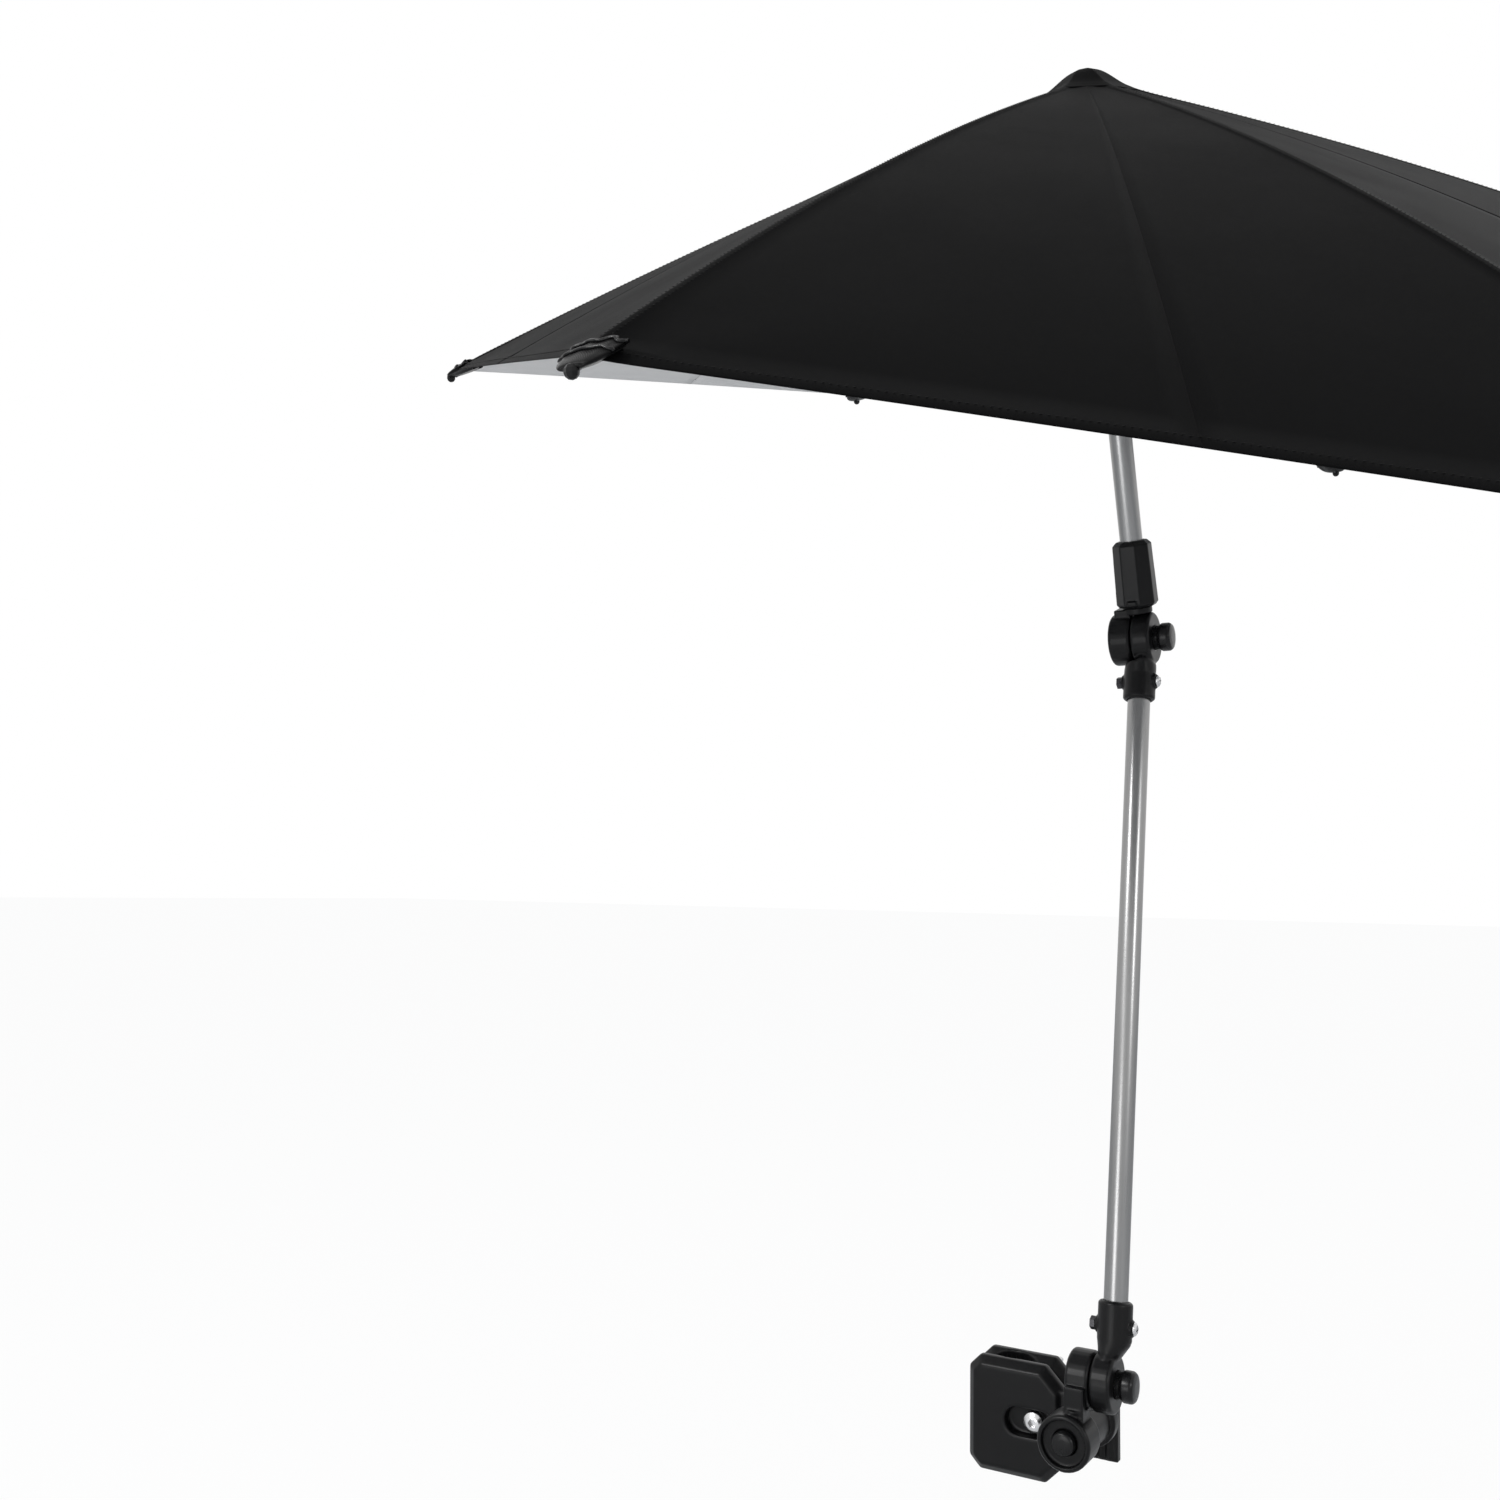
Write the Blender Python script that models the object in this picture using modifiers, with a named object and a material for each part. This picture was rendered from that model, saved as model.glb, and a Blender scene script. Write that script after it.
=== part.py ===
"""Clamp-on stroller parasol: a jaw clamp, three push-button joints, a two-part pole and a six-rib canopy.

Metres, +Z up. The origin is the middle of the clamp's grip. +X points along the two tilt axes,
towards their buttons, and the base swivel's button faces -Y.
"""

import math

import bmesh
import bpy
from mathutils import Matrix, Vector

MM = 0.001

# Fits
GAP = 0.3 * MM              # between pieces that touch
SLIP = 0.35 * MM            # around a sliding or turning piece

# Clamp
JAW_WIDTH = 71 * MM
JAW_HEIGHT = 78 * MM
JAW_THICKNESS = 16 * MM
JAW_BEVEL = 5.5 * MM
JAW_CORNER = 15 * MM
GRIP_GAP = 6 * MM           # between the jaws as photographed
GROOVE_RADIUS = 28 * MM
GROOVE_DEPTH = 6 * MM
JAW_LEFT = -28 * MM         # the jaw's left edge, from the grip's middle
BOLT_X = 20 * MM
BOLT_RADIUS = 4 * MM
BOLT_HEAD_RADIUS = 8 * MM
SLOT_HEIGHT = 19 * MM
SLOT_LENGTH = 36 * MM
SLOT_DEPTH = 8 * MM
JAW_TRAVEL = 32 * MM
PIN_RADIUS = 2 * MM
PIN_Z = 28 * MM
KNOB_RADIUS = 22 * MM
KNOB_LENGTH = 20 * MM
KNOB_LOBES = 6
CAP_LENGTH = 5 * MM

# Joint discs
DISC_RADIUS = 19 * MM
DISC_THICKNESS = 16 * MM
SOCKET_DISC_THICKNESS = 14 * MM
CAVITY_RADIUS = 13 * MM
CAVITY_DEPTH = 10 * MM
BUTTON_RADIUS = 10.3 * MM
BUTTON_NECK_RADIUS = 8.6 * MM
BUTTON_STAND = 12.5 * MM
BUTTON_TRAVEL = 3 * MM
GEAR_RADIUS = 12.4 * MM
GEAR_TEETH = 12
TOOTH_DEPTH = 1.6 * MM
GEAR_THICKNESS = 5 * MM
SPRING_RADIUS = 7 * MM
SPRING_WIRE = 0.8 * MM
SPRING_TURNS = 4

# Base swivel
SWIVEL_X = 60 * MM          # its axis, right of the grip
SWIVEL_Z = 10 * MM
RING_RADIUS = 18 * MM
RING_LENGTH = 24 * MM
BOSS_RADIUS = 15 * MM
DISH_RADIUS = 14.8 * MM
DISH_DEPTH = 4 * MM
SWIVEL_BUTTON_RADIUS = 7.8 * MM
SWIVEL_BUTTON_STAND = 5.5 * MM
ELBOW_RISE = 34.5 * MM      # tilt axis above the swivel axis
ELBOW_OFFSET = 5 * MM       # tilt disc's middle, right of the swivel axis
ELBOW_CLEARANCE = 3 * MM    # elbow to jaw

# Pole
TUBE_RADIUS = 8 * MM
TUBE_WALL = 1 * MM
TUBE_OFFSET = 11 * MM       # tube axis, right of the lower discs' meeting plane
MID_OFFSET = 3.7 * MM       # the same at the middle joint
LOWER_LENGTH = 512.6 * MM   # tilt axis to middle joint
MAST_LENGTH = 393 * MM      # middle joint to the canopy's peak
LEAN_BACK = math.radians(8.624)
BEND = math.radians(27.524)
SOCKET_WALL = 3.4 * MM
SOCKET_TOP = 52 * MM        # from the tilt axis
MID_SOCKET_LENGTH = 47 * MM
TUBE_INSERT = 24 * MM       # into the lower socket
MID_TUBE_INSERT = 19.5 * MM
SOCKET_SCREW = 16 * MM      # from the lower socket's mouth
MID_SCREW = 14 * MM         # from the middle socket's mouth
SCREW_RADIUS = 4.4 * MM
SCREW_SHANK = 2 * MM
COLLAR_RADIUS = 15 * MM
COLLAR_LENGTH = 48 * MM
COLLAR_START = 24 * MM
COLLAR_SIDES = 8

# Canopy
RIB_RADIUS = 1.6 * MM
HINGE_RADIUS = 11.5 * MM
HINGE_DROP = 14 * MM
CORNER_SIDE = 237 * MM      # corner tips, sideways from the pole
CORNER_FRONT = 514 * MM     # corner tips, forwards and back
SIDE_REACH = 484 * MM       # side tips
CANOPY_TURN = math.radians(19.6)
TIP_DROPS = {"left_corner": 172 * MM, "right_corner": 319 * MM,
             "left_side": 121 * MM, "right_side": 257 * MM}
CORNER_STRAIGHTNESS = 0.69
SIDE_STRAIGHTNESS = 0.79
FABRIC_THICKNESS = 1.2 * MM
FABRIC_OVER_RIB = 3.0 * MM
FABRIC_HOLE = 8 * MM
PEAK_HEIGHT = 7 * MM
PEAK_SPREAD = 24 * MM
HEM_SCOOP = 0.002
STRETCHER_RADIUS = 1.5 * MM
STRETCHER_REACH = 140 * MM  # along the rib
RUNNER_DROP = 95 * MM       # stretcher pivots, below the canopy's peak
RUNNER_PIVOT_RADIUS = 20 * MM
RUNNER_FLANGE_RADIUS = 17.5 * MM
RUNNER_LENGTH = 36 * MM
RUNNER_RADIUS = 11 * MM
TIP_RADIUS = 3.4 * MM
TIP_STAND = 1.5 * MM         # rib beyond the fabric

BLACK = ("black_plastic", (0.012, 0.012, 0.013, 1), 0.42, 0.0)
SATIN = ("satin_aluminium", (0.55, 0.56, 0.57, 1), 0.32, 1.0)
STEEL = ("bright_steel", (0.62, 0.62, 0.63, 1), 0.22, 1.0)
DARK_STEEL = ("dark_steel", (0.10, 0.10, 0.11, 1), 0.35, 1.0)
FABRIC = ("black_fabric", (0.011, 0.011, 0.012, 1), 0.85, 0.0)

for old in list(bpy.data.objects):
    bpy.data.objects.remove(old)

parts = bpy.data.collections.new("stroller_parasol")
cutters = bpy.data.collections.new("cutters")
bpy.context.scene.collection.children.link(parts)
bpy.context.scene.collection.children.link(cutters)


def material(finish):
    name, colour, roughness, metallic = finish
    found = bpy.data.materials.get(name)
    if found:
        return found
    made = bpy.data.materials.new(name)
    made.use_nodes = True
    shader = made.node_tree.nodes["Principled BSDF"]
    shader.inputs["Base Color"].default_value = colour
    shader.inputs["Roughness"].default_value = roughness
    shader.inputs["Metallic"].default_value = metallic
    made.diffuse_color = colour
    return made


def frame(name, origin, x_axis, z_axis):
    """An empty on a joint's axis: its Z runs along the axis, its X as given."""
    empty = bpy.data.objects.new(name, None)
    parts.objects.link(empty)
    z = Vector(z_axis).normalized()
    x = Vector(x_axis).normalized()
    turn = Matrix((x, z.cross(x), z)).transposed()
    empty.matrix_world = Matrix.Translation(origin) @ turn.to_4x4()
    return empty


def place(name, data, parent, local=None, finish=None):
    made = bpy.data.objects.new(name, data)
    parts.objects.link(made)
    made.parent = parent
    made.matrix_basis = local or Matrix()
    if finish:
        data.materials.append(material(finish))
    return made


def lathe(name, profile, parent, finish=None, local=None, steps=24, loop=False):
    """Turns a profile of (radius, height) points, its outer side from top to bottom, about Z."""
    mesh = bpy.data.meshes.new(name)
    edges = [(i, i + 1) for i in range(len(profile) - 1)]
    if loop:
        edges.append((len(profile) - 1, 0))
    mesh.from_pydata([(r, 0, z) for r, z in profile], edges, [])
    made = place(name, mesh, parent, local, finish)
    screw = made.modifiers.new("turn", "SCREW")
    screw.steps = steps
    screw.render_steps = steps
    screw.use_merge_vertices = True
    screw.merge_threshold = 0.00001
    return made


def rod(name, radius, low, high, parent, finish=None, local=None, steps=24):
    return lathe(name, [(0, high), (radius, high), (radius, low), (0, low)], parent, finish, local, steps)


def box(name, low, high, parent, finish=None, local=None):
    mesh = bpy.data.meshes.new(name)
    shape = bmesh.new()
    bmesh.ops.create_cube(shape, size=1)
    size = Vector(high) - Vector(low)
    bmesh.ops.scale(shape, vec=size, verts=shape.verts)
    bmesh.ops.translate(shape, vec=(Vector(high) + Vector(low)) / 2, verts=shape.verts)
    shape.to_mesh(mesh)
    shape.free()
    return place(name, mesh, parent, local, finish)


def plate(name, outline, low, high, parent, finish=None, local=None, bevel=0.0):
    """A flat outline from low to high along Z, with both rims bevelled."""
    curve = bpy.data.curves.new(name, "CURVE")
    curve.dimensions = "2D"
    curve.fill_mode = "BOTH"
    curve.extrude = (high - low) / 2 - bevel
    curve.bevel_depth = bevel
    curve.bevel_resolution = 0
    curve.offset = -bevel
    curve.render_resolution_u = 0
    spline = curve.splines.new("POLY")
    spline.points.add(len(outline) - 1)
    for point, (x, y) in zip(spline.points, outline):
        point.co = (x, y, 0, 1)
    spline.use_cyclic_u = True
    guide = bpy.data.objects.new(name + "_outline", curve)
    parts.objects.link(guide)
    bpy.context.view_layer.update()
    mesh = bpy.data.meshes.new_from_object(guide.evaluated_get(bpy.context.evaluated_depsgraph_get()))
    bpy.data.objects.remove(guide)
    shape = bmesh.new()
    shape.from_mesh(mesh)
    bmesh.ops.translate(shape, vec=(0, 0, (high + low) / 2), verts=shape.verts)
    bmesh.ops.remove_doubles(shape, verts=shape.verts, dist=0.00001)
    bmesh.ops.recalc_face_normals(shape, faces=shape.faces)
    shape.to_mesh(mesh)
    shape.free()
    return place(name, mesh, parent, local, finish)


def taper(name, one, other, parent):
    """A solid between two upright ellipses, each (middle x, half width x, half width y, z)."""
    mesh = bpy.data.meshes.new(name)
    shape = bmesh.new()
    bmesh.ops.create_cone(shape, cap_ends=True, segments=28, radius1=1, radius2=1, depth=1)
    low, high = sorted((one, other), key=lambda section: section[3])
    for vertex in shape.verts:
        x, half_x, half_y, z = high if vertex.co.z > 0 else low
        vertex.co = (x + vertex.co.x * half_x, vertex.co.y * half_y, z)
    shape.to_mesh(mesh)
    shape.free()
    return place(name, mesh, parent)


def wire(name, points, radius, parent, finish, local=None, resolution=1):
    curve = bpy.data.curves.new(name, "CURVE")
    curve.dimensions = "3D"
    curve.bevel_depth = radius
    curve.bevel_resolution = resolution
    curve.use_fill_caps = True
    curve.render_resolution_u = 0
    spline = curve.splines.new("POLY")
    spline.points.add(len(points) - 1)
    for point, place_at in zip(spline.points, points):
        point.co = (*place_at, 1)
    return place(name, curve, parent, local, finish)


def combine(target, tool, operation):
    step = target.modifiers.new(operation.lower(), "BOOLEAN")
    step.operation = operation
    step.solver = "EXACT"
    step.object = tool
    parts.objects.unlink(tool)
    cutters.objects.link(tool)
    tool.hide_render = True
    tool.display_type = "WIRE"


def join(target, tool):
    combine(target, tool, "UNION")


def cut(target, tool):
    combine(target, tool, "DIFFERENCE")


def along_y(x, z):
    """Local Z along +Y, through the point (x, z)."""
    return Matrix.Translation((x, 0, z)) @ Matrix.Rotation(-math.pi / 2, 4, "X")


# Frames of the clamp, the joints and the mast, outward from the grip
FRONT_FACE = -GRIP_GAP / 2 - JAW_THICKNESS
TILT_Y = FRONT_FACE - ELBOW_CLEARANCE - DISC_RADIUS
MEET_Y = TILT_Y - 5 * MM
TILT_X = SWIVEL_X + ELBOW_OFFSET + DISC_THICKNESS / 2 + GAP / 2
TILT_Z = SWIVEL_Z + ELBOW_RISE
TUBE_X = TILT_X + TUBE_OFFSET
LOWER_WAY = Vector((0, math.sin(LEAN_BACK), math.cos(LEAN_BACK)))
MAST_WAY = Vector((0, -math.sin(BEND - LEAN_BACK), math.cos(BEND - LEAN_BACK)))
TILT_POINT = Vector((TUBE_X, TILT_Y, TILT_Z))
MID_POINT = TILT_POINT + LOWER_LENGTH * LOWER_WAY
PEAK_POINT = MID_POINT + MAST_LENGTH * MAST_WAY

grip = frame("grip_frame", (0, 0, 0), (1, 0, 0), (0, 0, 1))
swivel = frame("swivel_axis", (SWIVEL_X, MEET_Y, SWIVEL_Z), (1, 0, 0), (0, -1, 0))
tilt = frame("tilt_axis", (TILT_X, TILT_Y, TILT_Z), LOWER_WAY, (1, 0, 0))
lower = frame("lower_pole", TILT_POINT, (1, 0, 0), LOWER_WAY)
middle = frame("middle_axis", MID_POINT - Vector((MID_OFFSET, 0, 0)), MAST_WAY, (1, 0, 0))
mast = frame("mast_axis", MID_POINT, (1, 0, 0), MAST_WAY)
canopy = frame("canopy_peak", PEAK_POINT, (1, 0, 0), MAST_WAY)


def jaw_outline():
    """The jaw's face, seen along its own plane: corners cut off, the right ones more."""
    right = JAW_LEFT + JAW_WIDTH
    top = JAW_HEIGHT / 2
    small = JAW_CORNER * 0.55
    return [(JAW_LEFT + small, top), (JAW_LEFT, top - small), (JAW_LEFT, -top + small),
            (JAW_LEFT + small, -top), (right - JAW_CORNER, -top), (right, -top + JAW_CORNER),
            (right, top - JAW_CORNER), (right - JAW_CORNER, top)]


def groove(name, side):
    """The upright round groove that grips a rail, in the jaw on the given side of the grip."""
    centre = side * (GRIP_GAP / 2 + GROOVE_DEPTH - GROOVE_RADIUS)
    reach = JAW_HEIGHT
    return rod(name, GROOVE_RADIUS, -reach, reach, grip, local=Matrix.Translation((0, centre, 0)), steps=40)


def slot_outline(length, height, middle_x):
    half = length / 2 - height / 2
    points = []
    for centre, start in ((half, -math.pi / 2), (-half, math.pi / 2)):
        for step in range(7):
            angle = start + math.pi * step / 6
            points.append((middle_x + centre + height / 2 * math.cos(angle), height / 2 * math.sin(angle)))
    return points


def make_clamp():
    upright = Matrix.Rotation(math.pi / 2, 4, "X")
    face = -FRONT_FACE
    front = plate("front_jaw", jaw_outline(), face - JAW_THICKNESS, face, grip, BLACK, upright, JAW_BEVEL)
    cut(front, groove("front_groove", -1))
    on_swivel = upright @ Matrix.Translation((SWIVEL_X, SWIVEL_Z, 0))
    ear_low, ear_high = face - JAW_THICKNESS + 4.5 * MM, face - 2.2 * MM
    ear = rod("jaw_ear", BOSS_RADIUS + 3 * MM, ear_low, ear_high, grip, local=on_swivel, steps=32)
    arm = box("jaw_arm", (JAW_LEFT + JAW_WIDTH - 10 * MM, SWIVEL_Z - BOSS_RADIUS, ear_low + GAP),
              (SWIVEL_X, SWIVEL_Z + BOSS_RADIUS, ear_high - GAP), grip, local=upright)
    boss = rod("swivel_boss", BOSS_RADIUS, ear_low + 2 * MM, -MEET_Y - GAP / 2, grip, local=on_swivel, steps=28)
    for tool in (ear, arm, boss):
        join(front, tool)
    hollow = rod("boss_hollow", CAVITY_RADIUS, -MEET_Y - CAVITY_DEPTH, -MEET_Y + 5 * MM, grip, local=on_swivel)
    slot = plate("bolt_slot", slot_outline(SLOT_LENGTH, SLOT_HEIGHT, BOLT_X - 2 * MM), face - SLOT_DEPTH,
                 face + 5 * MM, grip, None, upright)
    shaft_hole = rod("front_bolt_hole", BOLT_RADIUS + SLIP, 0, 50 * MM, grip,
                     local=upright @ Matrix.Translation((BOLT_X, 0, 0)))
    for tool in (hollow, slot, shaft_hole):
        cut(front, tool)
    for side in (-1, 1):
        hole = rod("front_pin_hole", PIN_RADIUS + SLIP, 0, face - 5 * MM, grip,
                   local=upright @ Matrix.Translation((BOLT_X, side * PIN_Z, 0)), steps=16)
        cut(front, hole)

    rear_low = GRIP_GAP / 2
    rear_high = rear_low + JAW_THICKNESS
    back = upright @ Matrix.Rotation(math.pi, 4, "Y")
    mirrored = [(-x, y) for x, y in reversed(jaw_outline())]
    rear = plate("rear_jaw", mirrored, rear_low, rear_high, grip, BLACK, back, JAW_BEVEL)
    cut(rear, groove("rear_groove", 1))
    lug = box("rear_lug", (JAW_LEFT + JAW_WIDTH - 10 * MM, rear_low + 4.5 * MM, -JAW_HEIGHT * 0.3),
              (SWIVEL_X + 12 * MM, rear_high - 4.5 * MM, JAW_HEIGHT * 0.2), grip)
    join(rear, lug)
    for side in (-1, 1):
        hole = rod("rear_pin_hole", PIN_RADIUS + SLIP, 0, rear_high + 5 * MM, grip,
                   local=along_y(BOLT_X, side * PIN_Z), steps=16)
        cut(rear, hole)
    cut(rear, rod("rear_bolt_hole", BOLT_RADIUS + SLIP, 0, 50 * MM, grip, local=along_y(BOLT_X, 0)))

    head_back = FRONT_FACE + SLOT_DEPTH - GAP
    head_front = FRONT_FACE + 0.5 * MM
    dome = [(0, -head_front), (BOLT_HEAD_RADIUS * 0.55, -head_front - 0.6 * MM),
            (BOLT_HEAD_RADIUS * 0.9, -head_front - 2.4 * MM), (BOLT_HEAD_RADIUS, -head_front - 4.5 * MM),
            (BOLT_HEAD_RADIUS, -head_back), (BOLT_RADIUS, -head_back)]
    tail = rear_high + KNOB_LENGTH + 28 * MM
    lathe("clamp_bolt", dome + [(BOLT_RADIUS, -tail), (0, -tail)], grip, STEEL,
          upright @ Matrix.Translation((BOLT_X, 0, 0)), 20)
    for side, name in ((-1, "lower_guide_pin"), (1, "upper_guide_pin")):
        rod(name, PIN_RADIUS, FRONT_FACE + 5 * MM + GAP, rear_high + JAW_TRAVEL - 10 * MM, grip, STEEL,
            along_y(BOLT_X, side * PIN_Z), 12)

    knob_low = rear_high + GAP
    lobes = []
    count = KNOB_LOBES * 8
    for step in range(count):
        angle = 2 * math.pi * step / count
        radius = KNOB_RADIUS - 2 * MM + 2 * MM * math.cos(KNOB_LOBES * angle)
        lobes.append((radius * math.cos(angle), radius * math.sin(angle)))
    knob_top = knob_low + KNOB_LENGTH
    knob = plate("hand_knob", lobes, knob_low, knob_top, grip, BLACK, along_y(BOLT_X, 0), 2 * MM)
    cut(knob, rod("knob_bore", BOLT_RADIUS + SLIP, 0, 100 * MM, grip, local=along_y(BOLT_X, 0)))
    cap_low = knob_top + GAP
    cap_inner = BOLT_RADIUS + SLIP
    lathe("knob_collar", [(10 * MM, cap_low + CAP_LENGTH), (12 * MM, cap_low + CAP_LENGTH - 2 * MM),
                          (12 * MM, cap_low), (cap_inner, cap_low), (cap_inner, cap_low + CAP_LENGTH)],
          grip, DARK_STEEL, along_y(BOLT_X, 0), 20, True)


def gear_outline():
    points = []
    root = GEAR_RADIUS - TOOTH_DEPTH
    for tooth in range(GEAR_TEETH):
        for quarter, radius in enumerate((root, GEAR_RADIUS, GEAR_RADIUS, root)):
            angle = 2 * math.pi * (tooth + quarter / 4) / GEAR_TEETH
            points.append((radius * math.cos(angle), radius * math.sin(angle)))
    return points


def make_lock(prefix, axis, cover, button_radius, neck_radius, stand):
    """The lock of one joint: a button through the cover disc, a lock gear and a return spring."""
    flange_top = CAVITY_DEPTH - GAP
    flange_low = flange_top - 2 * MM
    top = cover + stand
    rim = top - min(2 * MM, stand * 0.3)
    under = cover + BUTTON_TRAVEL + 2 * GAP
    head = [(0, top + 0.6 * MM), (button_radius * 0.75, top), (button_radius, rim)]
    if button_radius > neck_radius:
        head += [(button_radius, under + 1.5 * MM), (neck_radius, under)]
    lathe(prefix + "_button", head + [(neck_radius, flange_top), (GEAR_RADIUS - 1 * MM, flange_top),
                                      (GEAR_RADIUS - 1 * MM, flange_low), (0, flange_low)], axis, BLACK)
    gear_top = flange_low - GAP
    plate(prefix + "_lock_gear", gear_outline(), gear_top - GEAR_THICKNESS, gear_top, axis, STEEL)
    low = -CAVITY_DEPTH + GAP + SPRING_WIRE
    high = gear_top - GEAR_THICKNESS - BUTTON_TRAVEL - GAP - SPRING_WIRE
    turns = []
    per_turn = 10
    for step in range(SPRING_TURNS * per_turn + 1):
        angle = 2 * math.pi * step / per_turn
        height = low + (high - low) * step / (SPRING_TURNS * per_turn)
        turns.append((SPRING_RADIUS * math.cos(angle), SPRING_RADIUS * math.sin(angle), height))
    wire(prefix + "_spring", turns, SPRING_WIRE, axis, STEEL, resolution=0)


def hollow_disc(prefix, axis, thickness, side, neck_hole):
    """Cutters for one disc: its cavity, and the hole for the button's neck."""
    reach = CAVITY_DEPTH * side
    mouth = -side * 2 * MM
    tools = [rod(prefix + "_cavity", CAVITY_RADIUS, min(reach, mouth), max(reach, mouth), axis)]
    if neck_hole:
        tools.append(rod(prefix + "_neck_hole", neck_hole + SLIP, 0, thickness + 10 * MM, axis))
    return tools


def disc_profile(low, high, radius, rounding):
    return [(0, high), (radius - rounding, high), (radius, high - rounding), (radius, low + rounding),
            (radius - rounding, low), (0, low)]


def make_elbow():
    inner = GAP / 2
    disc = disc_profile(-inner - DISC_THICKNESS, -inner, DISC_RADIUS, 1.5 * MM)
    elbow = lathe("elbow", disc, tilt, BLACK, steps=32)
    ring = lathe("elbow_ring", disc_profile(inner, RING_LENGTH, RING_RADIUS, 1.5 * MM), swivel, steps=32)
    half = DISC_THICKNESS / 2 - 1.5 * MM
    web = box("elbow_web", (ELBOW_OFFSET - half, RING_RADIUS * 0.6, inner + 2 * MM),
              (ELBOW_OFFSET + half, ELBOW_RISE, RING_LENGTH - 6 * MM), swivel)
    join(elbow, ring)
    join(elbow, web)
    cut(elbow, rod("elbow_dish", DISH_RADIUS, RING_LENGTH - DISH_DEPTH, RING_LENGTH + 5 * MM, swivel))
    for tool in hollow_disc("elbow_tilt", tilt, DISC_THICKNESS, -1, None):
        cut(elbow, tool)
    for tool in hollow_disc("elbow_swivel", swivel, RING_LENGTH, 1, SWIVEL_BUTTON_RADIUS):
        cut(elbow, tool)
    make_lock("swivel", swivel, RING_LENGTH - DISH_DEPTH, SWIVEL_BUTTON_RADIUS, SWIVEL_BUTTON_RADIUS,
              SWIVEL_BUTTON_STAND)


def socket_screw(prefix, parent, height, radius):
    """A domed cross screw on the right, and its nut in a boss on the left."""
    sideways = Matrix.Translation((0, 0, height)) @ Matrix.Rotation(math.pi / 2, 4, "Y")
    seat = radius + 1.2 * MM + GAP
    lathe(prefix + "_screw", [(0, seat + 2.4 * MM), (SCREW_RADIUS * 0.6, seat + 2.1 * MM),
                              (SCREW_RADIUS, seat + 0.8 * MM), (SCREW_RADIUS, seat), (SCREW_SHANK, seat),
                              (SCREW_SHANK, -seat - 3 * MM), (0, -seat - 3 * MM)], parent, STEEL, sideways, 20)
    nut_low = -seat - 3.2 * MM
    nut_bore = SCREW_SHANK + SLIP
    nut = [(SCREW_RADIUS, -seat), (SCREW_RADIUS, nut_low), (nut_bore, nut_low), (nut_bore, -seat)]
    lathe(prefix + "_nut", nut, parent, DARK_STEEL, sideways, 6, True)
    return sideways


def make_lower_socket():
    outer = TUBE_RADIUS + SOCKET_WALL
    inner = GAP / 2
    disc = disc_profile(inner, inner + SOCKET_DISC_THICKNESS, DISC_RADIUS, 1.5 * MM)
    socket = lathe("lower_socket", disc, tilt, BLACK, steps=32)
    shoulder = SOCKET_TOP - TUBE_INSERT - 1 * MM
    sleeve = [(0, SOCKET_TOP), (outer - 1.5 * MM, SOCKET_TOP), (outer, SOCKET_TOP - 1.5 * MM),
              (outer, shoulder), (0, shoulder)]
    sleeve = lathe("lower_sleeve", sleeve, lower, steps=28)
    disc_middle = inner + SOCKET_DISC_THICKNESS / 2 - TUBE_OFFSET
    neck = taper("lower_neck", (0, outer - GAP, outer - GAP, shoulder + 2 * MM),
                 (disc_middle, SOCKET_DISC_THICKNESS / 2 - 2 * MM, 12 * MM, 14 * MM), lower)
    join(socket, sleeve)
    join(socket, neck)
    height = SOCKET_TOP - SOCKET_SCREW
    pads = rod("lower_screw_pads", SCREW_RADIUS + 1 * MM, -outer - 1.2 * MM, outer + 1.2 * MM, lower,
               local=Matrix.Translation((0, 0, height)) @ Matrix.Rotation(math.pi / 2, 4, "Y"))
    join(socket, pads)
    for tool in hollow_disc("lower_socket", tilt, SOCKET_DISC_THICKNESS, 1, BUTTON_NECK_RADIUS):
        cut(socket, tool)
    bore_low = SOCKET_TOP - TUBE_INSERT
    cut(socket, rod("lower_tube_bore", TUBE_RADIUS + SLIP, bore_low, SOCKET_TOP + 10 * MM, lower))
    sideways = socket_screw("lower", lower, height, outer)
    hole = rod("lower_screw_hole", SCREW_SHANK + SLIP, -40 * MM, 40 * MM, lower, local=sideways, steps=16)
    cut(socket, hole)
    make_lock("tilt", tilt, inner + SOCKET_DISC_THICKNESS, BUTTON_RADIUS, BUTTON_NECK_RADIUS, BUTTON_STAND)


def make_lower_tube():
    low = SOCKET_TOP - TUBE_INSERT + GAP
    high = LOWER_LENGTH - MID_SOCKET_LENGTH + MID_TUBE_INSERT - GAP
    bore = TUBE_RADIUS - TUBE_WALL
    wall = [(TUBE_RADIUS, high), (TUBE_RADIUS, low), (bore, low), (bore, high)]
    tube = lathe("lower_tube", wall, lower, SATIN, None, 24, True)
    for height in (SOCKET_TOP - SOCKET_SCREW, LOWER_LENGTH - MID_SOCKET_LENGTH + MID_SCREW):
        hole = rod("tube_screw_hole", SCREW_SHANK + SLIP, -20 * MM, 20 * MM, lower,
                   local=Matrix.Translation((0, 0, height)) @ Matrix.Rotation(math.pi / 2, 4, "Y"), steps=16)
        cut(tube, hole)


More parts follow.
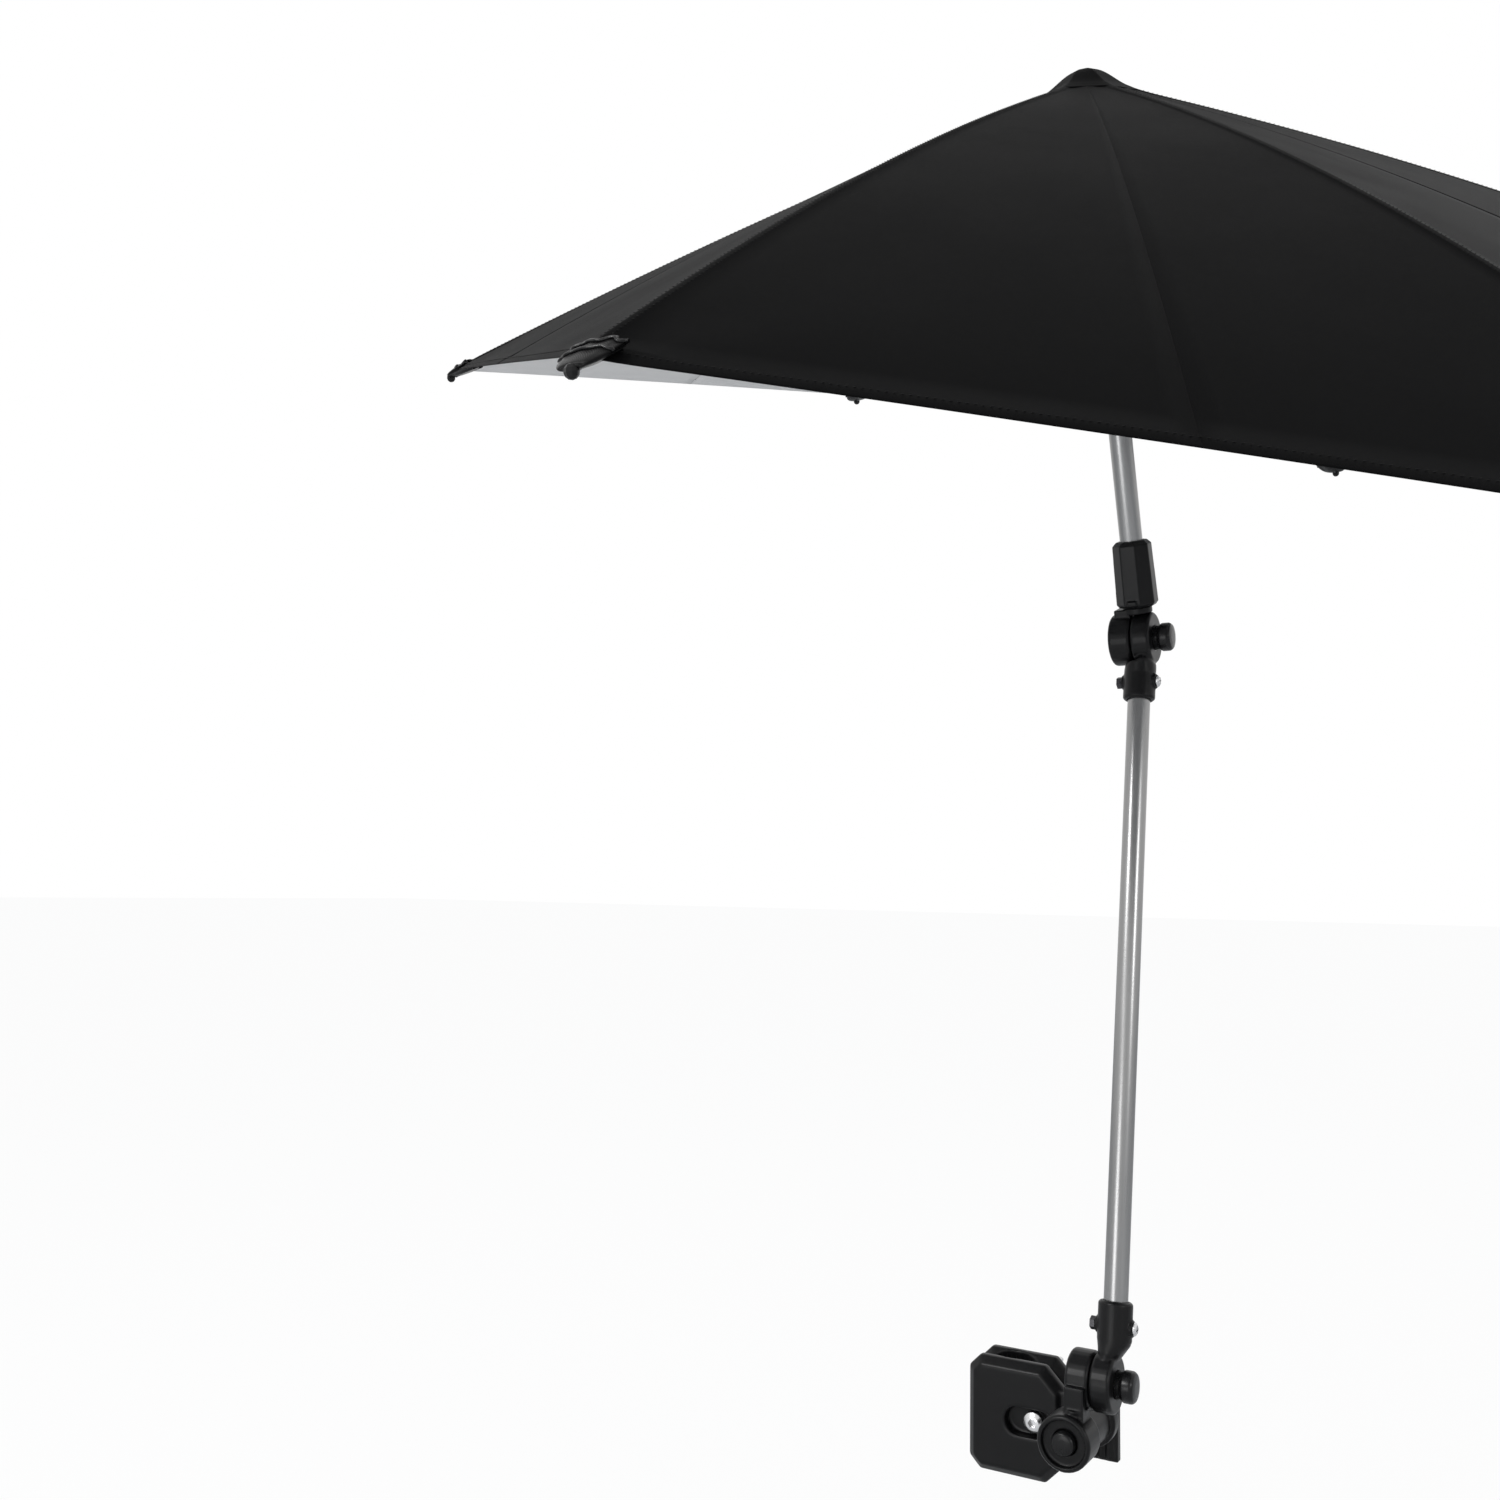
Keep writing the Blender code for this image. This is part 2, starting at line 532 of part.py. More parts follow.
def make_middle_joint():
    outer = TUBE_RADIUS + SOCKET_WALL
    inner = GAP / 2
    start = LOWER_LENGTH - MID_SOCKET_LENGTH
    disc = disc_profile(inner, inner + SOCKET_DISC_THICKNESS, DISC_RADIUS, 1.5 * MM)
    fork = lathe("middle_socket", disc, middle, BLACK, steps=32)
    shoulder = start + MID_TUBE_INSERT
    sleeve = [(0, shoulder), (outer, shoulder), (outer, start + 1.5 * MM),
              (outer - 1.5 * MM, start), (0, start)]
    sleeve = lathe("middle_sleeve", sleeve, lower, steps=28)
    disc_middle = inner + SOCKET_DISC_THICKNESS / 2 - MID_OFFSET
    neck_end = LOWER_LENGTH - DISC_RADIUS - 0.6 * MM
    neck = taper("middle_neck", (0, outer - GAP, outer - GAP, shoulder - 2 * MM),
                 (disc_middle, SOCKET_DISC_THICKNESS / 2 - GAP, 12.5 * MM, neck_end), lower)
    tongue = taper("middle_tongue", (disc_middle, 6 * MM, 12 * MM, neck_end - 1 * MM),
                   (disc_middle, 5 * MM, 10 * MM, neck_end + 4 * MM), lower)
    join(fork, sleeve)
    join(fork, neck)
    join(fork, tongue)
    height = start + MID_SCREW
    pads = rod("middle_screw_pads", SCREW_RADIUS + 1 * MM, -outer - 1.2 * MM, outer + 1.2 * MM, lower,
               local=Matrix.Translation((0, 0, height)) @ Matrix.Rotation(math.pi / 2, 4, "Y"))
    join(fork, pads)
    for tool in hollow_disc("middle_socket", middle, SOCKET_DISC_THICKNESS, 1, BUTTON_NECK_RADIUS):
        cut(fork, tool)
    cut(fork, rod("middle_tube_bore", TUBE_RADIUS + SLIP, start - 10 * MM, start + MID_TUBE_INSERT, lower))
    sideways = socket_screw("middle", lower, height, outer)
    hole = rod("middle_screw_hole", SCREW_SHANK + SLIP, -40 * MM, 40 * MM, lower, local=sideways, steps=16)
    cut(fork, hole)
    cover = inner + SOCKET_DISC_THICKNESS
    make_lock("middle", middle, cover, BUTTON_RADIUS, BUTTON_NECK_RADIUS, BUTTON_STAND)

    disc = disc_profile(-inner - DISC_THICKNESS, -inner, DISC_RADIUS, 1.5 * MM)
    knuckle = lathe("knuckle", disc, middle, BLACK, steps=32)
    neck_radius = TUBE_RADIUS + 2 * MM
    shoulder = DISC_RADIUS
    neck = rod("knuckle_neck", neck_radius, shoulder, COLLAR_START - GAP, mast)
    spigot_radius = TUBE_RADIUS - TUBE_WALL - SLIP
    spigot = rod("knuckle_spigot", spigot_radius, shoulder + 1 * MM, COLLAR_START + 26 * MM, mast)
    left = -MID_OFFSET - GAP - DISC_THICKNESS
    bridge = box("knuckle_bridge", (left + 4 * MM, -8 * MM, 4 * MM),
                 (-MID_OFFSET - 2 * GAP, 8 * MM, COLLAR_START - 1 * MM), mast)
    for tool in (bridge, neck, spigot):
        join(knuckle, tool)
    for tool in hollow_disc("knuckle", middle, DISC_THICKNESS, -1, None):
        cut(knuckle, tool)


def make_mast():
    low = COLLAR_START + GAP
    high = MAST_LENGTH - 8 * MM
    bore = TUBE_RADIUS - TUBE_WALL
    wall = [(TUBE_RADIUS, high), (TUBE_RADIUS, low), (bore, low), (bore, high)]
    lathe("upper_tube", wall, mast, SATIN, None, 24, True)
    top = COLLAR_START + COLLAR_LENGTH
    upper = COLLAR_RADIUS - 1 * MM
    profile = [(0, top), (upper - 3 * MM, top), (upper, top - 3 * MM), (COLLAR_RADIUS, COLLAR_START + 2.5 * MM),
               (COLLAR_RADIUS - 2 * MM, COLLAR_START), (0, COLLAR_START)]
    half_side = Matrix.Rotation(math.pi / COLLAR_SIDES, 4, "Z")
    collar = lathe("collar", profile, mast, BLACK, half_side, COLLAR_SIDES)
    cut(collar, rod("collar_bore", TUBE_RADIUS + SLIP, COLLAR_START - 5 * MM, top + 5 * MM, mast))


def make_crown():
    """The hub that the ribs hinge on, and the cap that holds the fabric down."""
    inner = TUBE_RADIUS + SLIP
    groove_radius = HINGE_RADIUS - RIB_RADIUS - GAP
    brim = groove_radius + 1.1 * MM
    skirt = groove_radius + 0.7 * MM
    lathe("crown", [(brim, -9 * MM), (brim, -10.5 * MM), (groove_radius, -10.6 * MM),
                    (groove_radius, -17.4 * MM), (skirt, -17.5 * MM), (skirt, -26 * MM),
                    (inner, -26 * MM), (inner, -9 * MM)],
          canopy, BLACK, None, 24, True)
    plug = TUBE_RADIUS - TUBE_WALL - SLIP
    lathe("top_cap", [(0, 3.5 * MM), (5 * MM, 3 * MM), (9 * MM, 0.6 * MM), (9.5 * MM, -0.6 * MM),
                      (5.5 * MM, -0.8 * MM), (5.5 * MM, -7.7 * MM), (plug, -7.7 * MM), (plug, -22 * MM),
                      (0, -22 * MM)], canopy, BLACK, None, 24)


def make_runner():
    inner = TUBE_RADIUS + SLIP
    top = -RUNNER_DROP + STRETCHER_RADIUS + 3 * MM
    under = top - 2.2 * MM
    low = top - RUNNER_LENGTH
    foot = RUNNER_RADIUS + 2.5 * MM
    runner = lathe("runner", [(RUNNER_FLANGE_RADIUS, top), (RUNNER_FLANGE_RADIUS, under),
                              (RUNNER_RADIUS, under - 0.5 * MM), (RUNNER_RADIUS, low + 6 * MM),
                              (foot, low + 3 * MM), (foot, low), (inner, low), (inner, top)],
                   canopy, BLACK, None, 24, True)
    floor = RUNNER_RADIUS - 1.4 * MM
    half = 2.5 * MM
    start, end = low + 10 * MM, low + 24 * MM
    notch = box("catch_notch", (floor, -half, start), (RUNNER_RADIUS + 5 * MM, half, end), canopy)
    cut(runner, notch)
    box("runner_catch", (floor + GAP, -half + GAP, start + GAP),
        (RUNNER_RADIUS + 1.8 * MM, half - GAP, end - GAP), canopy, STEEL)


def rib_list():
    """Each rib's name, azimuth, tip radius, tip drop and the share of its drop that is straight."""
    corner = math.hypot(CORNER_SIDE, CORNER_FRONT)
    turn = math.atan2(CORNER_FRONT, CORNER_SIDE)
    rows = [("right", 0.0, SIDE_REACH, "right_side"), ("back_right", turn, corner, "right_corner"),
            ("back_left", math.pi - turn, corner, "left_corner"), ("left", math.pi, SIDE_REACH, "left_side"),
            ("front_left", math.pi + turn, corner, "left_corner"),
            ("front_right", -turn, corner, "right_corner")]
    ribs = []
    for name, azimuth, reach, drop in rows:
        share = SIDE_STRAIGHTNESS if drop.endswith("side") else CORNER_STRAIGHTNESS
        ribs.append((name, azimuth + CANOPY_TURN, reach, TIP_DROPS[drop], share))
    return ribs


def rib_drop(rib, radius):
    """How far below the peak the rib's centre line is at a radius."""
    _, _, reach, tip_drop, share = rib
    run = reach - HINGE_RADIUS
    fall = tip_drop + FABRIC_OVER_RIB + FABRIC_THICKNESS - HINGE_DROP
    t = (radius - HINGE_RADIUS) / run
    return HINGE_DROP + fall * (share * t + (1 - share) * t * t)


def fabric_point(rib, radius):
    """A point of the fabric's outer face over a rib, in the canopy's frame."""
    drop = rib_drop(rib, max(radius, HINGE_RADIUS)) - FABRIC_OVER_RIB - FABRIC_THICKNESS
    drop -= (HINGE_RADIUS - min(radius, HINGE_RADIUS)) * 0.25
    drop -= PEAK_HEIGHT * math.exp(-(radius / PEAK_SPREAD) ** 2)
    return Vector((radius * math.cos(rib[1]), radius * math.sin(rib[1]), -drop))


def stretcher_ends(rib):
    """The pivots of a stretcher in the rib's own plane: at the rib and at the runner."""
    radius = HINGE_RADIUS + STRETCHER_REACH
    return (radius, -rib_drop(rib, radius)), (RUNNER_PIVOT_RADIUS, -RUNNER_DROP)


def make_ribs(ribs):
    for rib in ribs:
        name, azimuth, reach, _, _ = rib
        plane = Matrix.Rotation(azimuth, 4, "Z")
        count = 12
        points = []
        for step in range(count + 1):
            radius = HINGE_RADIUS + (reach + TIP_STAND - HINGE_RADIUS) * step / count
            points.append((radius, 0, -rib_drop(rib, radius)))
        wire("rib_" + name, points, RIB_RADIUS, canopy, DARK_STEEL, plane)
        end = Vector(points[-1])
        way = (end - Vector(points[-2])).normalized()
        centre = end + way * (TIP_RADIUS + GAP)
        mesh = bpy.data.meshes.new("rib_end_" + name)
        shape = bmesh.new()
        bmesh.ops.create_uvsphere(shape, u_segments=8, v_segments=6, radius=TIP_RADIUS)
        shape.to_mesh(mesh)
        shape.free()
        place("rib_end_" + name, mesh, canopy, plane @ Matrix.Translation(centre), BLACK)
        outer, inner = stretcher_ends(rib)
        side = RIB_RADIUS + STRETCHER_RADIUS + GAP
        ends = [(outer[0], side, outer[1]), (inner[0], side, inner[1])]
        wire("stretcher_" + name, ends, STRETCHER_RADIUS, canopy, DARK_STEEL, plane)


def make_petals(ribs):
    """One sheet of fabric over each rib, from the middle of one panel to the middle of the next."""
    rows = 10
    across = 4
    for index, rib in enumerate(ribs):
        before = ribs[index - 1]
        after = ribs[(index + 1) % len(ribs)]
        grid = []
        for row in range(rows + 1):
            t = row / rows
            line = []
            here = fabric_point(rib, FABRIC_HOLE + t * (rib[2] - FABRIC_HOLE))
            for column in range(-across, across + 1):
                other = after if column > 0 else before
                share = abs(column) / across * 0.5
                there_t = t * (1 - HEM_SCOOP * 4 * share * (1 - share) * t)
                near = fabric_point(rib, FABRIC_HOLE + there_t * (rib[2] - FABRIC_HOLE))
                far = fabric_point(other, FABRIC_HOLE + there_t * (other[2] - FABRIC_HOLE))
                chord = (far - near).length
                share = min(share, 0.5 - GAP * 0.6 / chord)
                line.append(near.lerp(far, share) if column else here)
            grid.append(line)
        width = 2 * across + 1
        points = [point for line in grid for point in line]
        faces = []
        for row in range(rows):
            for column in range(width - 1):
                corner = row * width + column
                faces.append((corner, corner + width, corner + width + 1, corner + 1))
        mesh = bpy.data.meshes.new("petal_" + rib[0])
        mesh.from_pydata(points, [], faces)
        petal = place("petal_" + rib[0], mesh, canopy, None, FABRIC)
        wall = petal.modifiers.new("thickness", "SOLIDIFY")
        wall.thickness = FABRIC_THICKNESS
        wall.offset = -1


make_clamp()
make_elbow()
make_lower_socket()
make_lower_tube()
make_middle_joint()
make_mast()
make_crown()
make_runner()
make_ribs(rib_list())
make_petals(rib_list())
bpy.context.view_layer.update()
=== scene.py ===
# %% [markdown]
# # A clamp-on stroller parasol
# A jaw clamp grips a stroller's frame tube. From it rise three push-button joints, a two-part
# aluminium pole and a six-rib canopy with a silver lining. The solid parts arrive ready made and
# in place. This lesson gives them their finish, sews the canopy and adds the small things that a
# plain solid leaves out.

# %% Load the solid parts
import math

import bmesh
import bpy
from mathutils import Matrix, Vector


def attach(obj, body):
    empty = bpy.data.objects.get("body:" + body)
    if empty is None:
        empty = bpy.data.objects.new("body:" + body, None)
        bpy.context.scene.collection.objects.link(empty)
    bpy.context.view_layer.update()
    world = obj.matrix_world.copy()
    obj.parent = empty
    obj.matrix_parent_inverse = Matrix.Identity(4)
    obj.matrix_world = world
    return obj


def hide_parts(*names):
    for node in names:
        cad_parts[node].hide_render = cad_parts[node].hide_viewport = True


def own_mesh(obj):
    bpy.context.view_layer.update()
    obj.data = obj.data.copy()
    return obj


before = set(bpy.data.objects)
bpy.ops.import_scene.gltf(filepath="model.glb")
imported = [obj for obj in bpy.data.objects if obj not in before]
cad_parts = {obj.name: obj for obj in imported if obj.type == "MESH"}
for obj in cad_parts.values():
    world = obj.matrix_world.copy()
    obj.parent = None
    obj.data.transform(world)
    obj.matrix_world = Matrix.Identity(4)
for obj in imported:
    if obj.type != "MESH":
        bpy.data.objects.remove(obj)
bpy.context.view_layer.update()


def in_scene(name, data):
    """A new object in the scene that shows this data."""
    thing = bpy.data.objects.new(name, data)
    bpy.context.scene.collection.objects.link(thing)
    return thing


# %% [markdown]
# ## Where the camera stood
# The photograph is square. The pole's width in it, the joints and the rib tips, with the usual
# diameter of such a pole for scale, give a camera a little over a metre from the clamp, almost
# level. A camera looks along its own -Z, so its matrix is built from the three directions rather
# than from angles, which leaves no doubt about which way it turns.

# %% The camera
PHOTO = 1500                       # pixels along each side of the photograph
FOCAL = 1476.04                    # focal length in those pixels
camera_at = Vector((0.3953, -1.0255, 0.3663))
forward = Vector((-0.517, 0.851, 0.0915)).normalized()
right = Vector((0.855, 0.518, 0.017))
right = (right - forward * right.dot(forward)).normalized()
up = right.cross(forward)

camera_data = bpy.data.cameras.new("camera")
camera_data.sensor_width = 36
camera_data.lens = 36 * FOCAL / PHOTO
camera_data.clip_start = 0.02
camera_data.clip_end = 50
camera = in_scene("camera", camera_data)
turn = Matrix((right, up, -forward)).transposed().to_4x4()
camera.matrix_world = Matrix.Translation(camera_at) @ turn
bpy.context.scene.camera = camera


def pixel(point):
    """Where a point shows in the photograph."""
    ray = Vector(point) - camera_at
    depth = ray.dot(forward)
    return (PHOTO / 2 + FOCAL * ray.dot(right) / depth, PHOTO / 2 - FOCAL * ray.dot(up) / depth)


print("camera", [round(c, 3) for c in camera_at], "lens", round(camera_data.lens, 2), "mm")

# %% [markdown]
# ## Arithmetic for materials
# A procedural material is a formula. Blender draws each sum as a Math node, which is slow to
# write and hard to read, so a small class wraps a socket and lets Python's own + and * add the
# nodes. A second class holds one material. Any other node is made from a type, its settings and
# what goes into its sockets.

# %% Signals and finishes


def feed(tree, value, socket):
    """Links a signal or a socket to this socket, or sets a plain value in it."""
    value = getattr(value, "socket", value)
    if isinstance(value, bpy.types.NodeSocket):
        tree.links.new(value, socket)
    else:
        socket.default_value = value


def add_node(tree, kind, sockets=None, settings=None):
    """A node of this kind: what goes into its sockets, and its own settings."""
    node = tree.nodes.new(kind)
    for key, value in (settings or {}).items():
        setattr(node, key, value)
    for key, value in (sockets or {}).items():
        feed(tree, value, node.inputs[key])
    return node


class Signal:
    """One number that varies over a surface, used in plain arithmetic."""

    def __init__(self, tree, socket):
        self.tree = tree
        self.socket = socket

    def math(self, operation, *others):
        values = dict(enumerate((self, *others)))
        made = add_node(self.tree, "ShaderNodeMath", values, {"operation": operation})
        return Signal(self.tree, made.outputs[0])

    def __add__(self, other):
        return self.math("ADD", other)

    def __mul__(self, other):
        return self.math("MULTIPLY", other)

    def sine(self):
        return self.math("SINE")

    def clipped(self):
        return self.math("MINIMUM", 1.0).math("MAXIMUM", 0.0)


class Finish:
    """One material and the nodes that make it."""

    def __init__(self, name, metallic=0.0, shine=0.5):
        self.material = bpy.data.materials.new(name)
        self.material.use_nodes = True
        self.tree = self.material.node_tree
        self.shader = self.tree.nodes["Principled BSDF"]
        self.set("Metallic", metallic)
        self.set("Specular IOR Level", shine)

    def node(self, kind, sockets=None, settings=None):
        return add_node(self.tree, kind, sockets, settings)

    def set(self, name, value):
        """Gives one input of the shader its value."""
        feed(self.tree, value, self.shader.inputs[name])

    def place(self, source="Object", stretch=(1, 1, 1)):
        """Object or UV coordinates, stretched."""
        coordinates = self.node("ShaderNodeTexCoord").outputs[source]
        return self.node("ShaderNodeMapping", {"Vector": coordinates, "Scale": stretch}).outputs[0]

    def noise(self, scale, where, detail=3.0):
        made = self.node("ShaderNodeTexNoise", {"Vector": where, "Scale": scale, "Detail": detail})
        return Signal(self.tree, made.outputs["Fac"])

    def colour(self, amount, dark, light):
        """A colour between two, by a signal from 0 to 1."""
        mix = self.node("ShaderNodeMix", {0: amount, 6: (*dark, 1), 7: (*light, 1)}, {"data_type": "RGBA"})
        self.set("Base Color", mix.outputs[2])

    def bump(self, height, strength, distance):
        made = self.node("ShaderNodeBump", {"Height": height, "Strength": strength, "Distance": distance})
        self.set("Normal", made.outputs[0])


print("signals and finishes are ready")

# %% [markdown]
# ## Soft light and a pale room
# Black fabric shows its form by what it reflects, so large soft lamps matter more than strong
# ones. The room itself is white only to the camera, to gloss and to glass; what lights the
# parasol is a slightly cool grey, so colours keep the strength that they are given.

# %% The world and the lamps
bpy.context.scene.view_settings.view_transform = "Standard"
world = bpy.data.worlds.new("pale_room")
bpy.context.scene.world = world
world.use_nodes = True
room = world.node_tree
room.nodes.clear()
seen = add_node(room, "ShaderNodeBackground", {"Color": (1, 1, 1, 1)})
lighting = add_node(room, "ShaderNodeBackground", {"Color": (0.93, 0.96, 1, 1), "Strength": 0.62})
rays = add_node(room, "ShaderNodeLightPath").outputs
white = Signal(room, rays["Is Camera Ray"])
for ray in ("Is Glossy Ray", "Is Transmission Ray"):
    white = white.math("MAXIMUM", rays[ray])
choice = add_node(room, "ShaderNodeMixShader", {0: white, 1: lighting.outputs[0], 2: seen.outputs[0]})
add_node(room, "ShaderNodeOutputWorld", {0: choice.outputs[0]})


def soft_lamp(name, at, aim, size, power):
    data = bpy.data.lights.new(name, "AREA")
    data.shape = "DISK"
    data.size = size
    data.energy = power
    way = Vector(aim) - Vector(at)
    turned_to = way.to_track_quat("-Z", "Y").to_matrix().to_4x4()
    in_scene(name, data).matrix_world = Matrix.Translation(at) @ turned_to


soft_lamp("key_lamp", (-0.9, -1.9, 1.5), (0.08, -0.1, 0.4), 0.55, 24)
soft_lamp("right_lamp", (2.2, -0.9, 0.9), (0.08, -0.1, 0.4), 0.5, 8)
soft_lamp("low_lamp", (-0.3, -2.0, 0.05), (0.08, -0.1, 0.5), 0.9, 8)
soft_lamp("back_lamp", (0.4, 2.2, 1.9), (0.08, -0.1, 0.7), 1.2, 4)

# %% [markdown]
# ## Moulded plastic
# The clamp, joints and runner are glass-filled nylon. Its surface copies a spark-eroded mould: a
# fine, even grain, under a millimetre across, with slightly uneven gloss where hands have rubbed
# it. A noise bump at that size gives the grain, and a slower noise moves the gloss.

# %% Moulded plastic and rubber


def moulded(name, dark, light, gloss, grain=1500.0, depth=0.00004, shine=0.16):
    finish = Finish(name, 0.0, shine)
    where = finish.place()
    grit = finish.noise(grain, where, 2.0)
    cloud = finish.noise(45.0, where)
    finish.colour((cloud * 0.7 + grit * 0.3).clipped(), dark, light)
    finish.set("Roughness", cloud * 0.10 + grit * 0.06 + gloss)
    finish.bump(grit, 0.55, depth)
    return finish.material


black_plastic = moulded("black_plastic", (0.0025, 0.0025, 0.0027), (0.0055, 0.0055, 0.0060), 0.26,
                        shine=0.18)
button_plastic = moulded("button_plastic", (0.004, 0.004, 0.0042), (0.007, 0.007, 0.0075), 0.20,
                         grain=2400.0, depth=0.00002, shine=0.22)
grip_rubber = moulded("grip_rubber", (0.006, 0.006, 0.006), (0.012, 0.012, 0.012), 0.62,
                      grain=900.0, depth=0.00008, shine=0.1)
print("plastics:", black_plastic.name, button_plastic.name, grip_rubber.name)

# %% [markdown]
# ## Satin aluminium
# The pole is drawn aluminium tube, anodised. Drawing leaves hair-fine lines along the tube, so a
# highlight spreads across it and stays narrow along it. Noise that is stretched a hundredfold
# along the tube's own UV map draws those lines, and follows the tube however it leans.

# %% Metals


def drawn_metal(name, dark, light, gloss):
    finish = Finish(name, 1.0)
    lines = finish.noise(1.0, finish.place("UV", (2600.0, 18.0, 1.0)), 4.0)
    cloud = finish.noise(30.0, finish.place())
    finish.colour((lines * 0.6 + cloud * 0.4).clipped(), dark, light)
    finish.set("Roughness", lines * 0.10 + cloud * 0.04 + gloss)
    finish.bump(lines, 0.08, 0.00001)
    return finish.material


def plated_metal(name, dark, light, gloss, grain=700.0, metallic=1.0):
    finish = Finish(name, metallic)
    where = finish.place()
    grit = finish.noise(grain, where, 3.0)
    cloud = finish.noise(70.0, where)
    finish.colour((grit * 0.5 + cloud * 0.5).clipped(), dark, light)
    finish.set("Roughness", grit * 0.10 + cloud * 0.10 + gloss)
    finish.bump(grit, 0.15, 0.00003)
    return finish.material


satin_aluminium = drawn_metal("satin_aluminium", (0.25, 0.25, 0.25), (0.33, 0.33, 0.33), 0.22)
bright_steel = plated_metal("bright_steel", (0.56, 0.56, 0.57), (0.72, 0.72, 0.72), 0.14)
dark_steel = plated_metal("dark_steel", (0.030, 0.030, 0.033), (0.065, 0.065, 0.070), 0.26,
                          grain=900.0, metallic=0.6)
print("metals:", satin_aluminium.name, bright_steel.name, dark_steel.name)

# %% [markdown]
# ## Cloth
# The canopy is black polyester taffeta with a silver ultraviolet coating on its underside. A
# plain weave is two sets of threads that pass over each other in turn: the product of two sine
# waves, one for each set, gives that chequer of bumps. The coating fills the weave, so the lining
# is smoother and shows creases instead.

# %% Cloth, lining and webbing
THREAD = 0.00045                   # metres from one thread to the next


def woven(name, dark, light, gloss, thread, depth, crease, shine):
    finish = Finish(name, 0.0, shine)
    chart = finish.node("ShaderNodeSeparateXYZ", {0: finish.place("UV")})
    across, along = (Signal(finish.tree, axis) * (2 * math.pi / thread) for axis in chart.outputs[:2])
    weave = across.sine() * along.sine()
    cloud = finish.noise(14.0, finish.place(), 4.0)
    folds = finish.noise(9.0, finish.place(), 3.0)
    finish.colour((cloud * 0.6 + weave * 0.12 + folds * 0.3).clipped(), dark, light)
    finish.set("Roughness", cloud * 0.12 + weave * 0.03 + gloss)
    finish.bump(weave * depth + folds * crease, 0.6, 1.0)
    return finish.material


black_cloth = woven("black_cloth", (0.0022, 0.0022, 0.0023), (0.0048, 0.0048, 0.0050), 0.50,
                    THREAD, depth=0.00002, crease=0.0010, shine=0.015)
silver_lining = woven("silver_lining", (0.52, 0.52, 0.52), (0.68, 0.68, 0.68), 0.42,
                      THREAD, depth=0.00001, crease=0.0030, shine=0.3)
webbing = woven("webbing", (0.0025, 0.0025, 0.0026), (0.0050, 0.0050, 0.0052), 0.20,
                0.0012, depth=0.00006, crease=0.0004, shine=0.08)
thread_finish = moulded("black_thread", (0.004, 0.004, 0.0042), (0.008, 0.008, 0.0084), 0.5,
                        grain=3000.0, depth=0.00002, shine=0.15)
print("cloths:", black_cloth.name, silver_lining.name, webbing.name)

# %% [markdown]
# ## The places that everything hangs from
# The parasol is a chain: grip, base swivel, lower tilt axis, middle joint, mast and canopy. Each
# link has its own straight axes, so a piece is easiest to draw at the origin of its link and
# then moved with that link's matrix. These are the same lengths and angles as the solid parts.

# %% Links of the chain
MM = 0.001
SWIVEL_X, SWIVEL_Z = 60 * MM, 10 * MM
TUBE_X, TILT_Y, TILT_Z = 84.15 * MM, -41 * MM, 44.5 * MM
TUBE_OFFSET, MID_OFFSET = 11 * MM, 3.7 * MM      # pole's axis, right of the discs' meeting planes
LEAN_BACK, BEND = math.radians(8.624), math.radians(27.524)
LOWER_LENGTH, MAST_LENGTH = 512.6 * MM, 393 * MM
lower_way = Vector((0, math.sin(LEAN_BACK), math.cos(LEAN_BACK)))
mast_way = Vector((0, -math.sin(BEND - LEAN_BACK), math.cos(BEND - LEAN_BACK)))


def link(origin, x_axis, z_axis):
    z = Vector(z_axis).normalized()
    x = Vector(x_axis).normalized()
    axes = Matrix((x, z.cross(x), z)).transposed().to_4x4()
    return Matrix.Translation(origin) @ axes


tilt_point = Vector((TUBE_X, TILT_Y, TILT_Z))
mid_point = tilt_point + LOWER_LENGTH * lower_way
peak_point = mid_point + MAST_LENGTH * mast_way
swivel = link((SWIVEL_X, TILT_Y - 5 * MM, SWIVEL_Z), (1, 0, 0), (0, -1, 0))
tilt = link((TUBE_X - TUBE_OFFSET, TILT_Y, TILT_Z), lower_way, (1, 0, 0))
lower = link(tilt_point, (1, 0, 0), lower_way)
middle = link(mid_point - Vector((MID_OFFSET, 0, 0)), mast_way, (1, 0, 0))
mast = link(mid_point, (1, 0, 0), mast_way)
canopy = link(peak_point, (1, 0, 0), mast_way)
for name, place in (("peak", peak_point), ("middle joint", mid_point), ("lower joint", tilt_point)):
    print(name, "shows at", [round(p) for p in pixel(place)])

# %% [markdown]
# ## Turned pieces
# Tubes, buttons and screws are all bodies of revolution: one profile in millimetres, spun. A sharp
# corner never catches the light, and every real edge is a little round, so each corner of the
# profile first gets a small arc. The UV map unrolls the piece in metres, which lets the metal's
# lines follow it.

# %% Spinning a profile


def metres(*values):
    return tuple(value * MM for value in values)


def rounded(profile, size, closed=False):
    """The profile with an arc at each corner between two edges."""
    points = [Vector(p) for p in profile]
    count = len(points)
    result = []
    for i, here in enumerate(points):
        if not closed and i in (0, count - 1):
            result.append(here)
            continue
        before, after = points[i - 1], points[(i + 1) % count]
        reach = min(size, (before - here).length * 0.45, (after - here).length * 0.45)
        start = here + (before - here).normalized() * reach
        end = here + (after - here).normalized() * reach
        for step in range(5):
            t = step / 4
            result.append((1 - t) ** 2 * start + 2 * t * (1 - t) * here + t * t * end)
    return result


def mesh_of(shape, name, place=None):
    """The mesh of a bmesh, moved to its link."""
    mesh = bpy.data.meshes.new(name)
    shape.to_mesh(mesh)
    shape.free()
    if place:
        mesh.transform(place)
    return mesh


